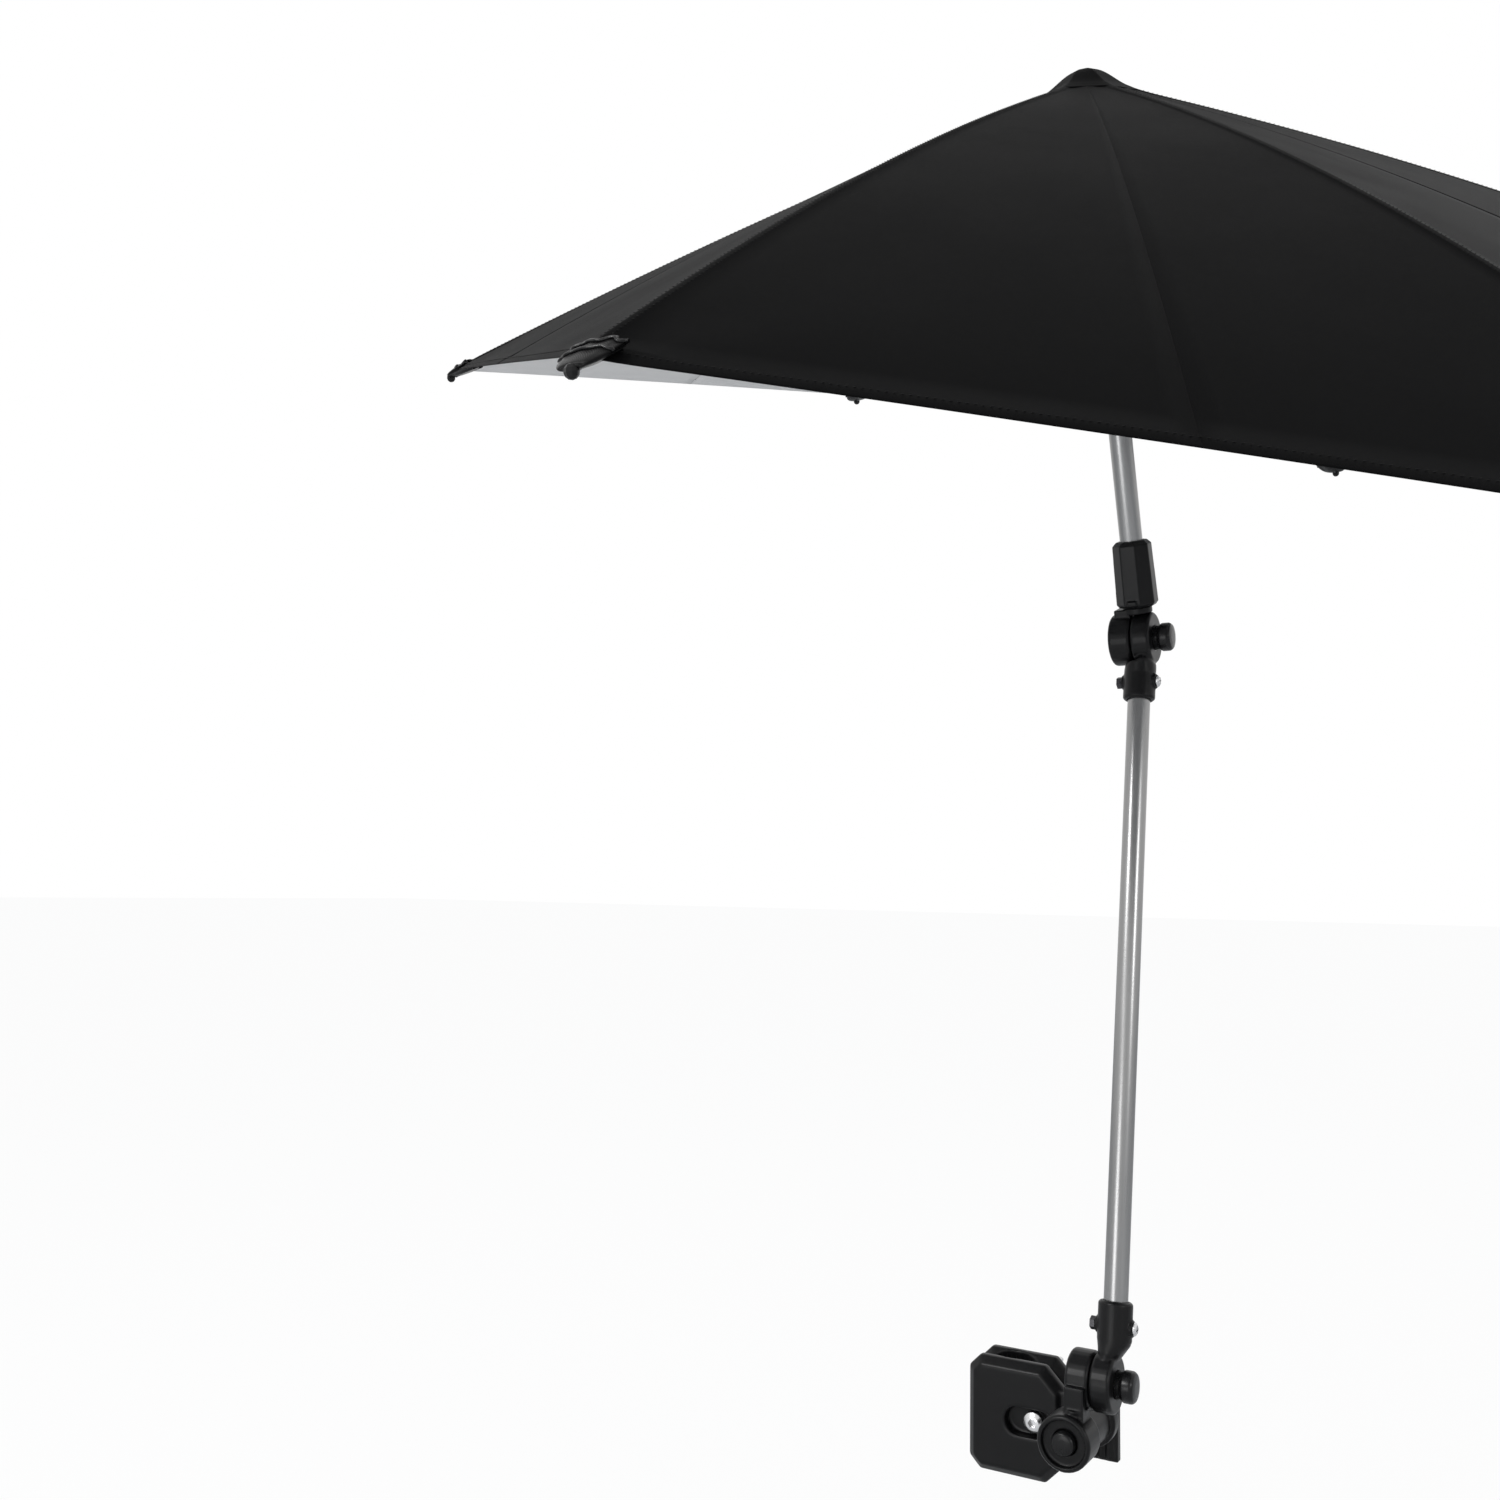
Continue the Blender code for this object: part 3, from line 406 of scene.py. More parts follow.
def keep_mesh(name, mesh, finish, body, slot, *nodes):
    """Puts a mesh in the scene: on its body, with its finish, for the solids that it stands for."""
    piece = in_scene(name, mesh)
    if finish:
        mesh.materials.clear()
        mesh.materials.append(finish)
    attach(piece, body)
    if nodes:
        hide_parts(*nodes)
    return piece


SHARP = math.radians(32)           # edges steeper than this stay crisp


def spun(profile, place, steps=64, closed=False):
    """A mesh of the profile's (radius, height) points turned about the link's Z."""
    profile = [metres(*point) for point in profile]
    shape = bmesh.new()
    unrolled = shape.loops.layers.uv.new("UVMap")
    rings, run, runs = [], 0.0, []
    widest = max(p[0] for p in profile)
    for i, (radius, height) in enumerate(profile):
        if i:
            run += (Vector(profile[i]) - Vector(profile[i - 1])).length
        runs.append(run)
        if radius < 1e-7:
            rings.append([shape.verts.new((0, 0, height))])
            continue
        ring = []
        for step in range(steps):
            angle = 2 * math.pi * step / steps
            ring.append(shape.verts.new((radius * math.cos(angle), radius * math.sin(angle), height)))
        rings.append(ring)
    pairs = [(i, i + 1) for i in range(len(rings) - 1)]
    if closed:
        pairs.append((len(rings) - 1, 0))
    for a, b in pairs:
        for step in range(steps):
            after = (step + 1) % steps
            corners = []
            for ring, index, column in ((a, step, step), (b, step, step), (b, after, step + 1),
                                        (a, after, step + 1)):
                vertex = rings[ring][index % len(rings[ring])]
                if vertex not in [c[0] for c in corners]:
                    corners.append((vertex, column, runs[ring]))
            if len(corners) < 3:
                continue
            face = shape.faces.new([c[0] for c in corners])
            for loop, (_, column, v) in zip(face.loops, corners):
                loop[unrolled].uv = (column / steps * 2 * math.pi * widest, v)
    bmesh.ops.recalc_face_normals(shape, faces=shape.faces)
    mesh = mesh_of(shape, "spun", place)
    mesh.shade_smooth()
    mesh.set_sharp_from_angle(angle=SHARP)
    return mesh


square = [(0, 1), (1, 1), (1, 0), (0, 0)]
print("a square profile of 4 corners becomes", len(rounded(square, 0.1)), "points")

# %% [markdown]
# ## The pole
# Two lengths of 16 mm tube, one below the middle joint and one above. Their ends are hidden in
# the sockets, the collar and the crown, but it is cheap to give both tubes their true wall.

# %% Both tubes
TUBE_RADIUS, TUBE_BORE = 8, 7      # millimetres, like every profile


def pole_tube(half, low, high, place, body):
    wall = [(TUBE_RADIUS, high), (TUBE_RADIUS, low), (TUBE_BORE, low), (TUBE_BORE, high)]
    mesh = spun(rounded(wall, 0.25, closed=True), place, steps=96, closed=True)
    keep_mesh("pole_" + half, mesh, satin_aluminium, body, "satin_aluminium", half + "_tube")
    print(half, "tube:", round(high - low), "mm long")


pole_tube("lower", 28.3, 484.8, lower, "lower_arm")
pole_tube("upper", 24.3, 385, mast, "mast")

# %% [markdown]
# ## Push buttons
# Each joint unlocks with a mushroom-shaped button: a domed head on a narrower neck. They are
# handled, so they are a little glossier than the housings. The one on the base swivel sits in a
# shallow dish and has no mushroom head.

# %% Three buttons
BUTTON_TRAVEL = 3
DISC_COVER = 14.15                 # a disc's outer face, from the plane where two discs meet
SKIRT, SKIRT_BACK, SKIRT_FRONT = 11.4, 7.7, 9.7      # the hidden flange that keeps a button in


def button(name, place, cover, head, neck, stand):
    """A push button: cover is the face it stands out of, head and neck are radii."""
    top = cover + stand
    rim = top - min(2, stand * 0.3)
    under = cover + BUTTON_TRAVEL + 0.6
    profile = [(0, top + 0.6), (head * 0.5, top + 0.45), (head * 0.86, top - 0.15), (head, rim)]
    if head > neck:
        profile += [(head, under + 1.5), (neck, under)]
    profile += [(neck, SKIRT_FRONT), (SKIRT, SKIRT_FRONT), (SKIRT, SKIRT_BACK), (0, SKIRT_BACK)]
    mesh = spun(rounded(profile, 0.9), place)
    body = name + "_button"
    keep_mesh(name + "_push_button", mesh, button_plastic, body, "black_plastic", body)


button("tilt", tilt, DISC_COVER, 10.3, 8.6, 12.5)
button("middle", middle, DISC_COVER, 10.3, 8.6, 12.5)
button("swivel", swivel, 20, 7.8, 7.8, 5.5)
print("the tilt button shows at", [round(p) for p in pixel(tilt @ Vector((0, 0, 26 * MM)))])

# %% [markdown]
# ## Softening the mouldings
# The housings are joined and cut from discs, sleeves and boxes, which leaves knife edges that no
# mould could make. Rebuilding a copy on a fine voxel grid and smoothing it a few times melts
# every edge to a radius of about a millimetre, inside corners too. Any extra lump, such as a rib
# or a neck, can be thrown in before the voxels and comes out fused.

# %% A helper that softens


def block(low, high, place):
    """A closed box as a mesh, between two corners in millimetres."""
    shape = bmesh.new()
    bmesh.ops.create_cube(shape, size=1)
    low, high = Vector(metres(*low)), Vector(metres(*high))
    bmesh.ops.scale(shape, vec=high - low, verts=shape.verts)
    bmesh.ops.translate(shape, vec=(high + low) / 2, verts=shape.verts)
    return mesh_of(shape, "block", place)


def loft(sections, place, sides=40):
    """A closed body through level ellipses, each (middle x, half width x, half width y, z) in mm."""
    shape = bmesh.new()
    rings = []
    turns = [2 * math.pi * i / sides for i in range(sides)]
    for section in sections:
        x, half_x, half_y, z = metres(*section)
        rings.append([shape.verts.new((x + half_x * math.cos(a), half_y * math.sin(a), z)) for a in turns])
    for low, high in zip(rings, rings[1:]):
        for i in range(sides):
            after = (i + 1) % sides
            shape.faces.new((low[i], low[after], high[after], high[i]))
    shape.faces.new(rings[0][::-1])
    shape.faces.new(rings[-1])
    bmesh.ops.recalc_face_normals(shape, faces=shape.faces)
    return mesh_of(shape, "loft", place)


def flattened(piece):
    """The piece's mesh with its modifiers applied, and the piece removed."""
    bpy.context.view_layer.update()
    mesh = bpy.data.meshes.new_from_object(piece.evaluated_get(bpy.context.evaluated_depsgraph_get()))
    bpy.data.objects.remove(piece)
    return mesh


def thickened(mesh, thickness):
    """The surface with a wall that grows inwards."""
    raw = in_scene("raw", mesh)
    wall = raw.modifiers.new("wall", "SOLIDIFY")
    wall.thickness = thickness
    wall.offset = -1
    return flattened(raw)


def softened(name, node, body, voxel=0.6 * MM, rounds=4, lumps=()):
    """A solid's copy, fused with its lumps and melted by so many rounds of smoothing."""
    shape = bmesh.new()
    shape.from_mesh(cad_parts[node].data)
    bmesh.ops.remove_doubles(shape, verts=shape.verts, dist=0.000001)
    for lump in lumps:
        shape.from_mesh(lump)
    raw = in_scene("raw", mesh_of(shape, name))
    grid = raw.modifiers.new("voxels", "REMESH")
    grid.mode = "VOXEL"
    grid.voxel_size = voxel
    melt = raw.modifiers.new("melt", "SMOOTH")
    melt.factor = 0.5
    melt.iterations = rounds
    done = flattened(raw)
    done.shade_smooth()
    keep_mesh(name, done, black_plastic, body, "black_plastic", node)


# %% [markdown]
# ## The joint housings
# The elbow carries the base swivel below and the tilt axis above. The two sockets hold the ends
# of the lower tube, and the knuckle carries the mast. The collar over the mast's foot is an
# eight-sided sleeve with a small raised bar on its lower edge, where a thumb feels for it.

# %% Elbow, sockets, knuckle and collar
elbow_neck = loft([(61, 9, 9.5, 21), (63, 8, 9.5, 26), (65, 7.4, 10.5, 30.5)],
                  Matrix.Translation((0, -56 * MM, 0)))
softened("elbow_housing", "elbow", "elbow", rounds=9, lumps=[elbow_neck])
lower_neck = loft([(-3, 7, 11.5, 15.5), (-1.5, 8.6, 12.2, 20), (-0.2, 10.6, 11.5, 24.5),
                   (0, 11.2, 11.2, 27.4)], lower)
softened("lower_socket_housing", "lower_socket", "lower_arm", rounds=8, lumps=[lower_neck])
foot = LOWER_LENGTH / MM - 20      # where the middle socket's sleeve ends and its fork begins
middle_neck = loft([(0, 11.2, 11.2, foot - 9), (0.2, 11.2, 12.2, foot - 4), (0.6, 10.6, 13, foot),
                    (3.6, 7, 13, foot + 0.8), (3.6, 6.6, 11.5, foot + 4)], lower)
softened("middle_socket_housing", "middle_socket", "lower_arm", rounds=8, lumps=[middle_neck])
softened("knuckle_housing", "knuckle", "knuckle", rounds=7)
thumb_bar = block((-3.2, -15.6, 26), (3.2, -12, 29.5), mast)
softened("collar_sleeve", "collar", "mast", voxel=0.5 * MM, rounds=7, lumps=[thumb_bar])

# %% [markdown]
# ## The clamp
# Two moulded jaws with cut-off corners close on the stroller's tube, drawn together by a bolt and
# a lobed hand knob. The rear jaw has upright ribs down its outer web, which stiffen it and give
# fingers something to hold.

# %% Jaws and knob
softened("front_jaw_moulding", "front_jaw", "clamp", voxel=0.8 * MM, rounds=14)
web_ribs = [block((x, 6, -22), (x + 2.4, 15.8, 14.5), Matrix()) for x in (48, 53.5, 59, 64.5)]
softened("rear_jaw_moulding", "rear_jaw", "rear_jaw", voxel=0.8 * MM, rounds=8, lumps=web_ribs)
softened("knob_moulding", "hand_knob", "knob")
softened("runner_moulding", "runner", "runner", voxel=0.5 * MM, rounds=3)
print("jaws and knob softened")

# %% [markdown]
# ## Screws
# A cross-headed screw holds each socket to its tube. A cross recess is two thin boxes cut from
# the dome, which is a job for a Boolean. The bolt through the jaws has a hexagon socket instead.

# %% Cross screws and the clamp bolt


def cut_from(mesh, cutters):
    """The mesh with each cutter taken out of it."""
    target = in_scene("target", mesh)
    tools = [in_scene("tool", cutter) for cutter in cutters]
    for tool in tools:
        step = target.modifiers.new("cut", "BOOLEAN")
        step.operation = "DIFFERENCE"
        step.solver = "EXACT"
        step.object = tool
    result = flattened(target)
    for tool in tools:
        bpy.data.objects.remove(tool)
    result.set_sharp_from_angle(angle=SHARP)
    return result


def cross_screw(half, height):
    """A screw through a socket, so many millimetres up the lower tube."""
    seat, head, shank, end = 12.9, 4.4, 2, -15.9     # seat and end from the tube's axis, two radii
    sideways = lower @ Matrix.Translation((0, 0, height * MM)) @ Matrix.Rotation(math.pi / 2, 4, "Y")
    profile = [(0, seat + 2.4), (head * 0.6, seat + 2.1), (head, seat + 0.8), (head, seat), (shank, seat),
               (shank, end), (0, end)]
    slots = [block((-2.6, -0.45, seat + 0.9), (2.6, 0.45, seat + 4),
                   sideways @ Matrix.Rotation(angle, 4, "Z")) for angle in (0.3, 0.3 + math.pi / 2)]
    mesh = cut_from(spun(rounded(profile, 0.4), sideways, 48), slots)
    keep_mesh(half + "_cross_screw", mesh, bright_steel, "lower_arm", "bright_steel", half + "_screw")


cross_screw("lower", 36)
cross_screw("middle", 479.6)

bolt_place = Matrix.Translation((20 * MM, 0, 0)) @ Matrix.Rotation(math.pi / 2, 4, "X")
domed = [(0, 18.5), (4.4, 17.9), (7.2, 16.1), (8, 14), (8, 11.3), (4, 11.3), (4, -67), (0, -67)]
hexagon = [(0, 21.5), (3.2, 21.5), (3.2, 15.1), (0, 15.1)]
bolt = cut_from(spun(rounded(domed, 0.5), bolt_place), [spun(hexagon, bolt_place, 6)])
keep_mesh("clamp_bolt_head", bolt, bright_steel, "clamp", "bright_steel", "clamp_bolt")
print("screws cut")

# %% [markdown]
# ## Patterns along a path
# Stitches, rods and grip bars all repeat along a line, which is what Geometry Nodes are for. One
# tree sets a small shape on a path at an even pitch, and another sweeps a circle along it. Both
# have named inputs, so one tree serves many pieces.

# %% Two node trees


class Tree:
    """A geometry node tree with named inputs, a material among them."""

    def __init__(self, name, inputs):
        self.group = bpy.data.node_groups.new(name, "GeometryNodeTree")
        sockets = self.group.interface
        self.keys = {}
        for label, kind, value in [("Geometry", "Geometry", None), *inputs, ("Material", "Material", None)]:
            socket = sockets.new_socket(name=label, in_out="INPUT", socket_type="NodeSocket" + kind)
            if value is not None:
                socket.default_value = value
            self.keys[label] = socket.identifier
        sockets.new_socket(name="Geometry", in_out="OUTPUT", socket_type="NodeSocketGeometry")
        self.given = self.group.nodes.new("NodeGroupInput").outputs
        self.sink = self.group.nodes.new("NodeGroupOutput").inputs[0]

    def add(self, kind, sockets=None, settings=None):
        """The first output of a new node."""
        return add_node(self.group, kind, sockets, settings).outputs[0]

    def finish(self, geometry):
        real = self.add("GeometryNodeRealizeInstances", {"Geometry": geometry})
        paint = {"Geometry": real, "Material": self.given["Material"]}
        feed(self.group, self.add("GeometryNodeSetMaterial", paint), self.sink)

    def run(self, paths, **values):
        """The tree's result on these paths, each a list of points, as a plain mesh."""
        mesh = bpy.data.meshes.new("paths")
        points, edges = [], []
        for line in paths:
            start = len(points)
            points += [tuple(p) for p in line]
            edges += [(start + i, start + i + 1) for i in range(len(line) - 1)]
        mesh.from_pydata(points, edges, [])
        carrier = in_scene("carrier", mesh)
        modifier = carrier.modifiers.new("pattern", "NODES")
        modifier.node_group = self.group
        for label, value in values.items():
            modifier[self.keys[label]] = value
        return flattened(carrier)


def bars_tree():
    """Small beads along a path: Z along Up, X along the path."""
    tree = Tree("bars_along_path", [("Pitch", "Float", 0.003), ("Size", "Vector", None),
                                    ("Up", "Vector", (0, 0, 1))])
    curve = tree.add("GeometryNodeMeshToCurve", {"Mesh": tree.given["Geometry"]})
    spaced = tree.add("GeometryNodeResampleCurve", {"Curve": curve, "Length": tree.given["Pitch"]},
                      {"mode": "LENGTH"})
    tangent = tree.add("GeometryNodeInputTangent")
    stand = tree.add("FunctionNodeAlignRotationToVector", {"Vector": tree.given["Up"]}, {"axis": "Z"})
    face = tree.add("FunctionNodeAlignRotationToVector", {"Rotation": stand, "Vector": tangent},
                    {"axis": "X", "pivot_axis": "Z"})
    bead = tree.add("GeometryNodeMeshUVSphere", {"Segments": 8, "Rings": 5, "Radius": 0.5})
    smooth = tree.add("GeometryNodeSetShadeSmooth", {"Geometry": bead})
    copies = tree.add("GeometryNodeInstanceOnPoints",
                      {"Points": spaced, "Instance": smooth, "Rotation": face, "Scale": tree.given["Size"]})
    tree.finish(copies)
    return tree


def rods_tree():
    """A round rod along each path."""
    tree = Tree("rod_along_path", [("Radius", "Float", 0.001)])
    curve = tree.add("GeometryNodeMeshToCurve", {"Mesh": tree.given["Geometry"]})
    ring = tree.add("GeometryNodeCurvePrimitiveCircle", {"Resolution": 14, "Radius": tree.given["Radius"]})
    swept = tree.add("GeometryNodeCurveToMesh", {"Curve": curve, "Profile Curve": ring, "Fill Caps": True})
    tree.finish(tree.add("GeometryNodeSetShadeSmooth", {"Geometry": swept}))
    return tree


bars = bars_tree()
rods = rods_tree()
print("trees:", bars.group.name, rods.group.name)

# %% [markdown]
# ## The canopy's shape
# Six spring-steel ribs bend down from the crown. The cloth is stretched over them, so between
# two ribs it is nearly straight, and so is its edge. One formula gives the drop of a rib at any
# radius, and the cloth is drawn between neighbours.

# %% Ribs and cloth as formulas
HINGE_RADIUS, HINGE_DROP = 11.5 * MM, 14 * MM
CORNER_SIDE, CORNER_FRONT = 237 * MM, 514 * MM
CANOPY_TURN = math.radians(19.6)
CLOTH_RISE = 4.2 * MM              # cloth's outer face above a rib's centre line
CLOTH_HOLE = 8 * MM
HEM_SCOOP = 0.002                  # the hem bows in between two tips by this share of its radius
SIDE = {"reach": 484 * MM, "straight": 0.79}
CORNER = {"reach": math.hypot(CORNER_SIDE, CORNER_FRONT), "straight": 0.69}
corner_turn = math.atan2(CORNER_FRONT, CORNER_SIDE)
RIBS = []
for rib_name, azimuth, drop, kind in (("right", 0.0, 257, SIDE), ("back_right", corner_turn, 319, CORNER),
                                      ("back_left", math.pi - corner_turn, 172, CORNER),
                                      ("left", math.pi, 121, SIDE),
                                      ("front_left", math.pi + corner_turn, 172, CORNER),
                                      ("front_right", -corner_turn, 319, CORNER)):
    RIBS.append({"name": rib_name, "azimuth": azimuth + CANOPY_TURN, "drop": drop * MM, **kind})


def rib_drop(rib, radius):
    """How far a rib's centre line lies below the peak."""
    t = (radius - HINGE_RADIUS) / (rib["reach"] - HINGE_RADIUS)
    fall = rib["drop"] + CLOTH_RISE - HINGE_DROP
    return HINGE_DROP + fall * (rib["straight"] * t + (1 - rib["straight"]) * t * t)


def cloth_over_rib(rib, radius):
    """A point of the cloth on a rib; it climbs to the peak inside the ring of hinges."""
    drop = rib_drop(rib, max(radius, HINGE_RADIUS)) - CLOTH_RISE
    drop -= (HINGE_RADIUS - min(radius, HINGE_RADIUS)) * 0.25
    drop -= 7 * MM * math.exp(-(radius / (24 * MM)) ** 2)
    return Vector((radius * math.cos(rib["azimuth"]), radius * math.sin(rib["azimuth"]), -drop))


for rib in RIBS:
    rib["tip"] = cloth_over_rib(rib, rib["reach"])
    print(rib["name"], "tip shows at", [round(p) for p in pixel(canopy @ rib["tip"])])

# %% [markdown]
# ## Tension in the cloth
# Where a rib's tip pulls on the cloth, the pull fans out in shallow folds that fade within a
# hand's width. They are less than a millimetre high, too low to see as shape but enough to break
# up a highlight. Twelve fainter pleats run from the peak.

# %% Folds from the tips
FANS, FAN_HEIGHT, FAN_FADE, FAN_END = 9, 0.9 * MM, 0.085, 0.32
PLEATS, PLEAT_HEIGHT, PLEAT_MIDDLE, PLEAT_FADE = 12, 0.35 * MM, 0.05, 0.045


def pull_folds(point):
    """Height of the shallow folds at a point of the cloth."""
    height = 0.0
    for rib in RIBS:
        gap = Vector((point.x - rib["tip"].x, point.y - rib["tip"].y))
        if gap.length > FAN_END:
            continue
        angle = math.atan2(gap.y, gap.x) - rib["azimuth"] - math.pi
        fade = math.exp(-gap.length / FAN_FADE) * min(1.0, gap.length / 0.02)
        height += FAN_HEIGHT * math.cos(FANS * angle) * fade
    radius = math.hypot(point.x, point.y)
    pleat = math.cos(PLEATS * (math.atan2(point.y, point.x) - CANOPY_TURN))
    return height + PLEAT_HEIGHT * pleat * math.exp(-((radius - PLEAT_MIDDLE) / PLEAT_FADE) ** 2)


def cloth_point(rib, other, t, share, lift=0.0):
    """A point of the cloth: t from the hole to the edge, share from this rib towards the other."""
    there = t * (1 - HEM_SCOOP * 4 * share * (1 - share) * t)
    near = cloth_over_rib(rib, CLOTH_HOLE + there * (rib["reach"] - CLOTH_HOLE))
    far = cloth_over_rib(other, CLOTH_HOLE + there * (other["reach"] - CLOTH_HOLE))
    point = near.lerp(far, share)
    point.z += pull_folds(point) + lift
    return point


print("fold height near a tip:", round(pull_folds(RIBS[4]["tip"] * 0.93) / MM, 2), "mm")

# %% [markdown]
# ## Sewing the canopy
# Every panel is a triangle of cloth between two ribs, and neighbours are joined by a flat-felled
# seam on the rib. When the canopy folds, each rib carries half a panel on either side, so each
# piece here is one rib's share: the seam in the middle and half a panel left and right. Rows of
# points follow the seam and the hem closely, so both stand up 0.4 mm like a real double
# thickness, and the inner face is a separate surface with the silver coating.

# %% One rib's share of the cloth
SEAM = metres(0.0, 0.7, 3.6, 4.3)
SEAM_LIFT = metres(0.12, 0.38, 0.38, 0.0)
HEM_WIDTH, HEM_LIFT = 9 * MM, 0.38 * MM
CLOTH_THICK = 0.5 * MM
ACROSS, ALONG = 20, 54             # columns in half a panel, rows from the peak to the hem


def cloth_rows(rib):
    """(t, lift) for each row from the crown to the hem's edge."""
    length = rib["reach"] - CLOTH_HOLE
    last = 1 - (HEM_WIDTH + 0.6 * MM) / length
    rows = [(last * (i / ALONG) ** 1.15, 0.0) for i in range(ALONG + 1)]
    return rows + [(1 - HEM_WIDTH / length, HEM_LIFT), (1 - 4 * MM / length, 0.42 * MM),
                   (1 - 0.6 * MM / length, HEM_LIFT), (1.0, 0.15 * MM)]


def smooth_step(x):
    x = min(max(x, 0.0), 1.0)
    return x * x * (3 - 2 * x)


def peak_cover():
    """The rounded piece of cloth sewn over the crown, where all six panels meet."""
    outer, rows, across = 37 * MM, 28, 14
    peak, count = 1.2 * MM, len(RIBS)

    def at(row, column):
        radius = outer * row / rows
        near, far = RIBS[column // across % count], RIBS[(column // across + 1) % count]
        point = cloth_over_rib(near, radius).lerp(cloth_over_rib(far, radius), column % across / across)
        lift = 0.85 * MM - 0.45 * MM * smooth_step((radius - 29 * MM) / (8 * MM))
        dome = peak - 9 * MM * (radius / (26 * MM)) ** 2
        blend = smooth_step((radius - 3 * MM) / (26 * MM))
        point.z = dome * (1 - blend) + (point.z + lift) * blend
        return point

    shape = bmesh.new()
    chart_layer = shape.loops.layers.uv.new("UVMap")
    around = across * count
    top = shape.verts.new((0, 0, peak))
    rings = [[shape.verts.new(at(i, j)) for j in range(around)] for i in range(1, rows + 1)]
    for j in range(around):
        after = (j + 1) % around
        shape.faces.new((top, rings[0][j], rings[0][after]))
        for inner, wide in zip(rings, rings[1:]):
            shape.faces.new((inner[j], wide[j], wide[after], inner[after]))
    for face in shape.faces:
        face.smooth = True
        for loop in face.loops:
            loop[chart_layer].uv = loop.vert.co.xy
    return thickened(mesh_of(shape, "peak_cover", canopy), CLOTH_THICK)


def cloth_columns(rib, other, t):
    """(share, distance, lift) for each column from the rib to the middle of the panel."""
    half = (cloth_point(rib, other, t, 1.0) - cloth_point(rib, other, t, 0.0)).length / 2
    squeeze = min(1.0, half / (14 * MM))
    columns = [(0.5 * d * squeeze / half, d * squeeze, lift * squeeze) for d, lift in zip(SEAM, SEAM_LIFT)]
    start = SEAM[-1] * squeeze
    for i in range(1, ACROSS + 1):
        distance = start + (half - start) * i / ACROSS
        columns.append((0.5 * distance / half, distance, 0.0))
    return columns


def cloth_share(index):
    """The mesh of one rib's share: outer face, lining and the edges between."""
    rib, before, after = RIBS[index], RIBS[index - 1], RIBS[(index + 1) % len(RIBS)]
    outer, flat = [], []
    for t, hem_lift in cloth_rows(rib):
        line, chart = [], []
        along = t * (rib["reach"] - CLOTH_HOLE)
        for other, sign in ((before, -1), (after, 1)):
            columns = cloth_columns(rib, other, t)
            if sign < 0:
                columns = columns[:0:-1]
            for share, distance, lift in columns:
                line.append(cloth_point(rib, other, t, share, max(lift, hem_lift)))
                chart.append((sign * distance, along))
        outer.append(line)
        flat.append(chart)
    shape = bmesh.new()
    chart_layer = shape.loops.layers.uv.new("UVMap")
    last, edge = len(outer) - 1, len(outer[0]) - 1
    top = [[shape.verts.new(p) for p in line] for line in outer]
    shape.verts.ensure_lookup_table()

    def quad(*corners, side=0, wall=True):
        face = shape.faces.new([g[i][j] for g, i, j in corners])
        face.material_index = side
        face.smooth = not wall
        for loop, (_, i, j) in zip(face.loops, corners):
            loop[chart_layer].uv = flat[i][j]

    for i in range(last):
        for j in range(edge):
            quad((top, i, j), (top, i + 1, j), (top, i + 1, j + 1), (top, i, j + 1), wall=False)
    shape.normal_update()
    under = [[shape.verts.new(v.co - v.normal * CLOTH_THICK) for v in line] for line in top]
    for i in range(last):
        for j in range(edge):
            quad((under, i, j), (under, i, j + 1), (under, i + 1, j + 1), (under, i + 1, j),
                 side=1, wall=False)
    for j in range(edge):
        quad((top, last, j), (under, last, j), (under, last, j + 1), (top, last, j + 1))
        quad((top, 0, j), (top, 0, j + 1), (under, 0, j + 1), (under, 0, j))
    for i in range(last):
        quad((top, i, 0), (under, i, 0), (under, i + 1, 0), (top, i + 1, 0))
        quad((top, i, edge), (top, i + 1, edge), (under, i + 1, edge), (under, i, edge))
    area = sum(f.calc_area() for f in shape.faces if f.material_index == 1)
    widest = max(2 * abs(u) for chart in flat for u, v in chart)
    mesh = mesh_of(shape, "cloth_" + rib["name"], canopy)
    mesh.materials.append(black_cloth)
    mesh.materials.append(silver_lining)
    return mesh, area, (widest, rib["reach"] - CLOTH_HOLE)


# %% [markdown]
# ## Stitches and pockets
# Two rows of stitches hold each seam and one row holds the hem. A webbing pocket is sewn over
# every rib tip; it is glossy and takes a bright rim of light. When the runner slides down, the
# ribs swing in and the cloth between them gathers, and every sewn piece rides on its rib.

# %% Sewing
STITCH, STITCH_LIFT = 3.2 * MM, 0.5 * MM


def across_rib(rib):
    """The level direction across a rib, in the canopy's link."""
    return Vector((-math.sin(rib["azimuth"]), math.cos(rib["azimuth"]), 0))


def gathers(piece, rib):
    """Gives the piece a mesh of its own."""
    "rib_%s_fold" % rib["name"]
    tuple(canopy @ rib["tip"])
    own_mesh(piece)


def stitch_paths(rib, before, after):
    """Three lines: a row on each side of the seam, and the hem."""
    lines = []
    length = rib["reach"] - CLOTH_HOLE
    steps = 90
    for other in (before, after):
        line = []
        for i in range(6, steps + 1):
            t = i / steps * (1 - 12 * MM / length)
            columns = cloth_columns(rib, other, t)
            share = columns[1][0] * 0.35 + columns[2][0] * 0.65
            line.append(canopy @ cloth_point(rib, other, t, share, STITCH_LIFT))
        lines.append(line)
    hem, t = [], 1 - 6.5 * MM / length
    for other, order in ((before, range(40, 0, -1)), (after, range(41))):
        hem += [canopy @ cloth_point(rib, other, t, 0.5 * i / 40, STITCH_LIFT) for i in order]
    return lines + [hem]


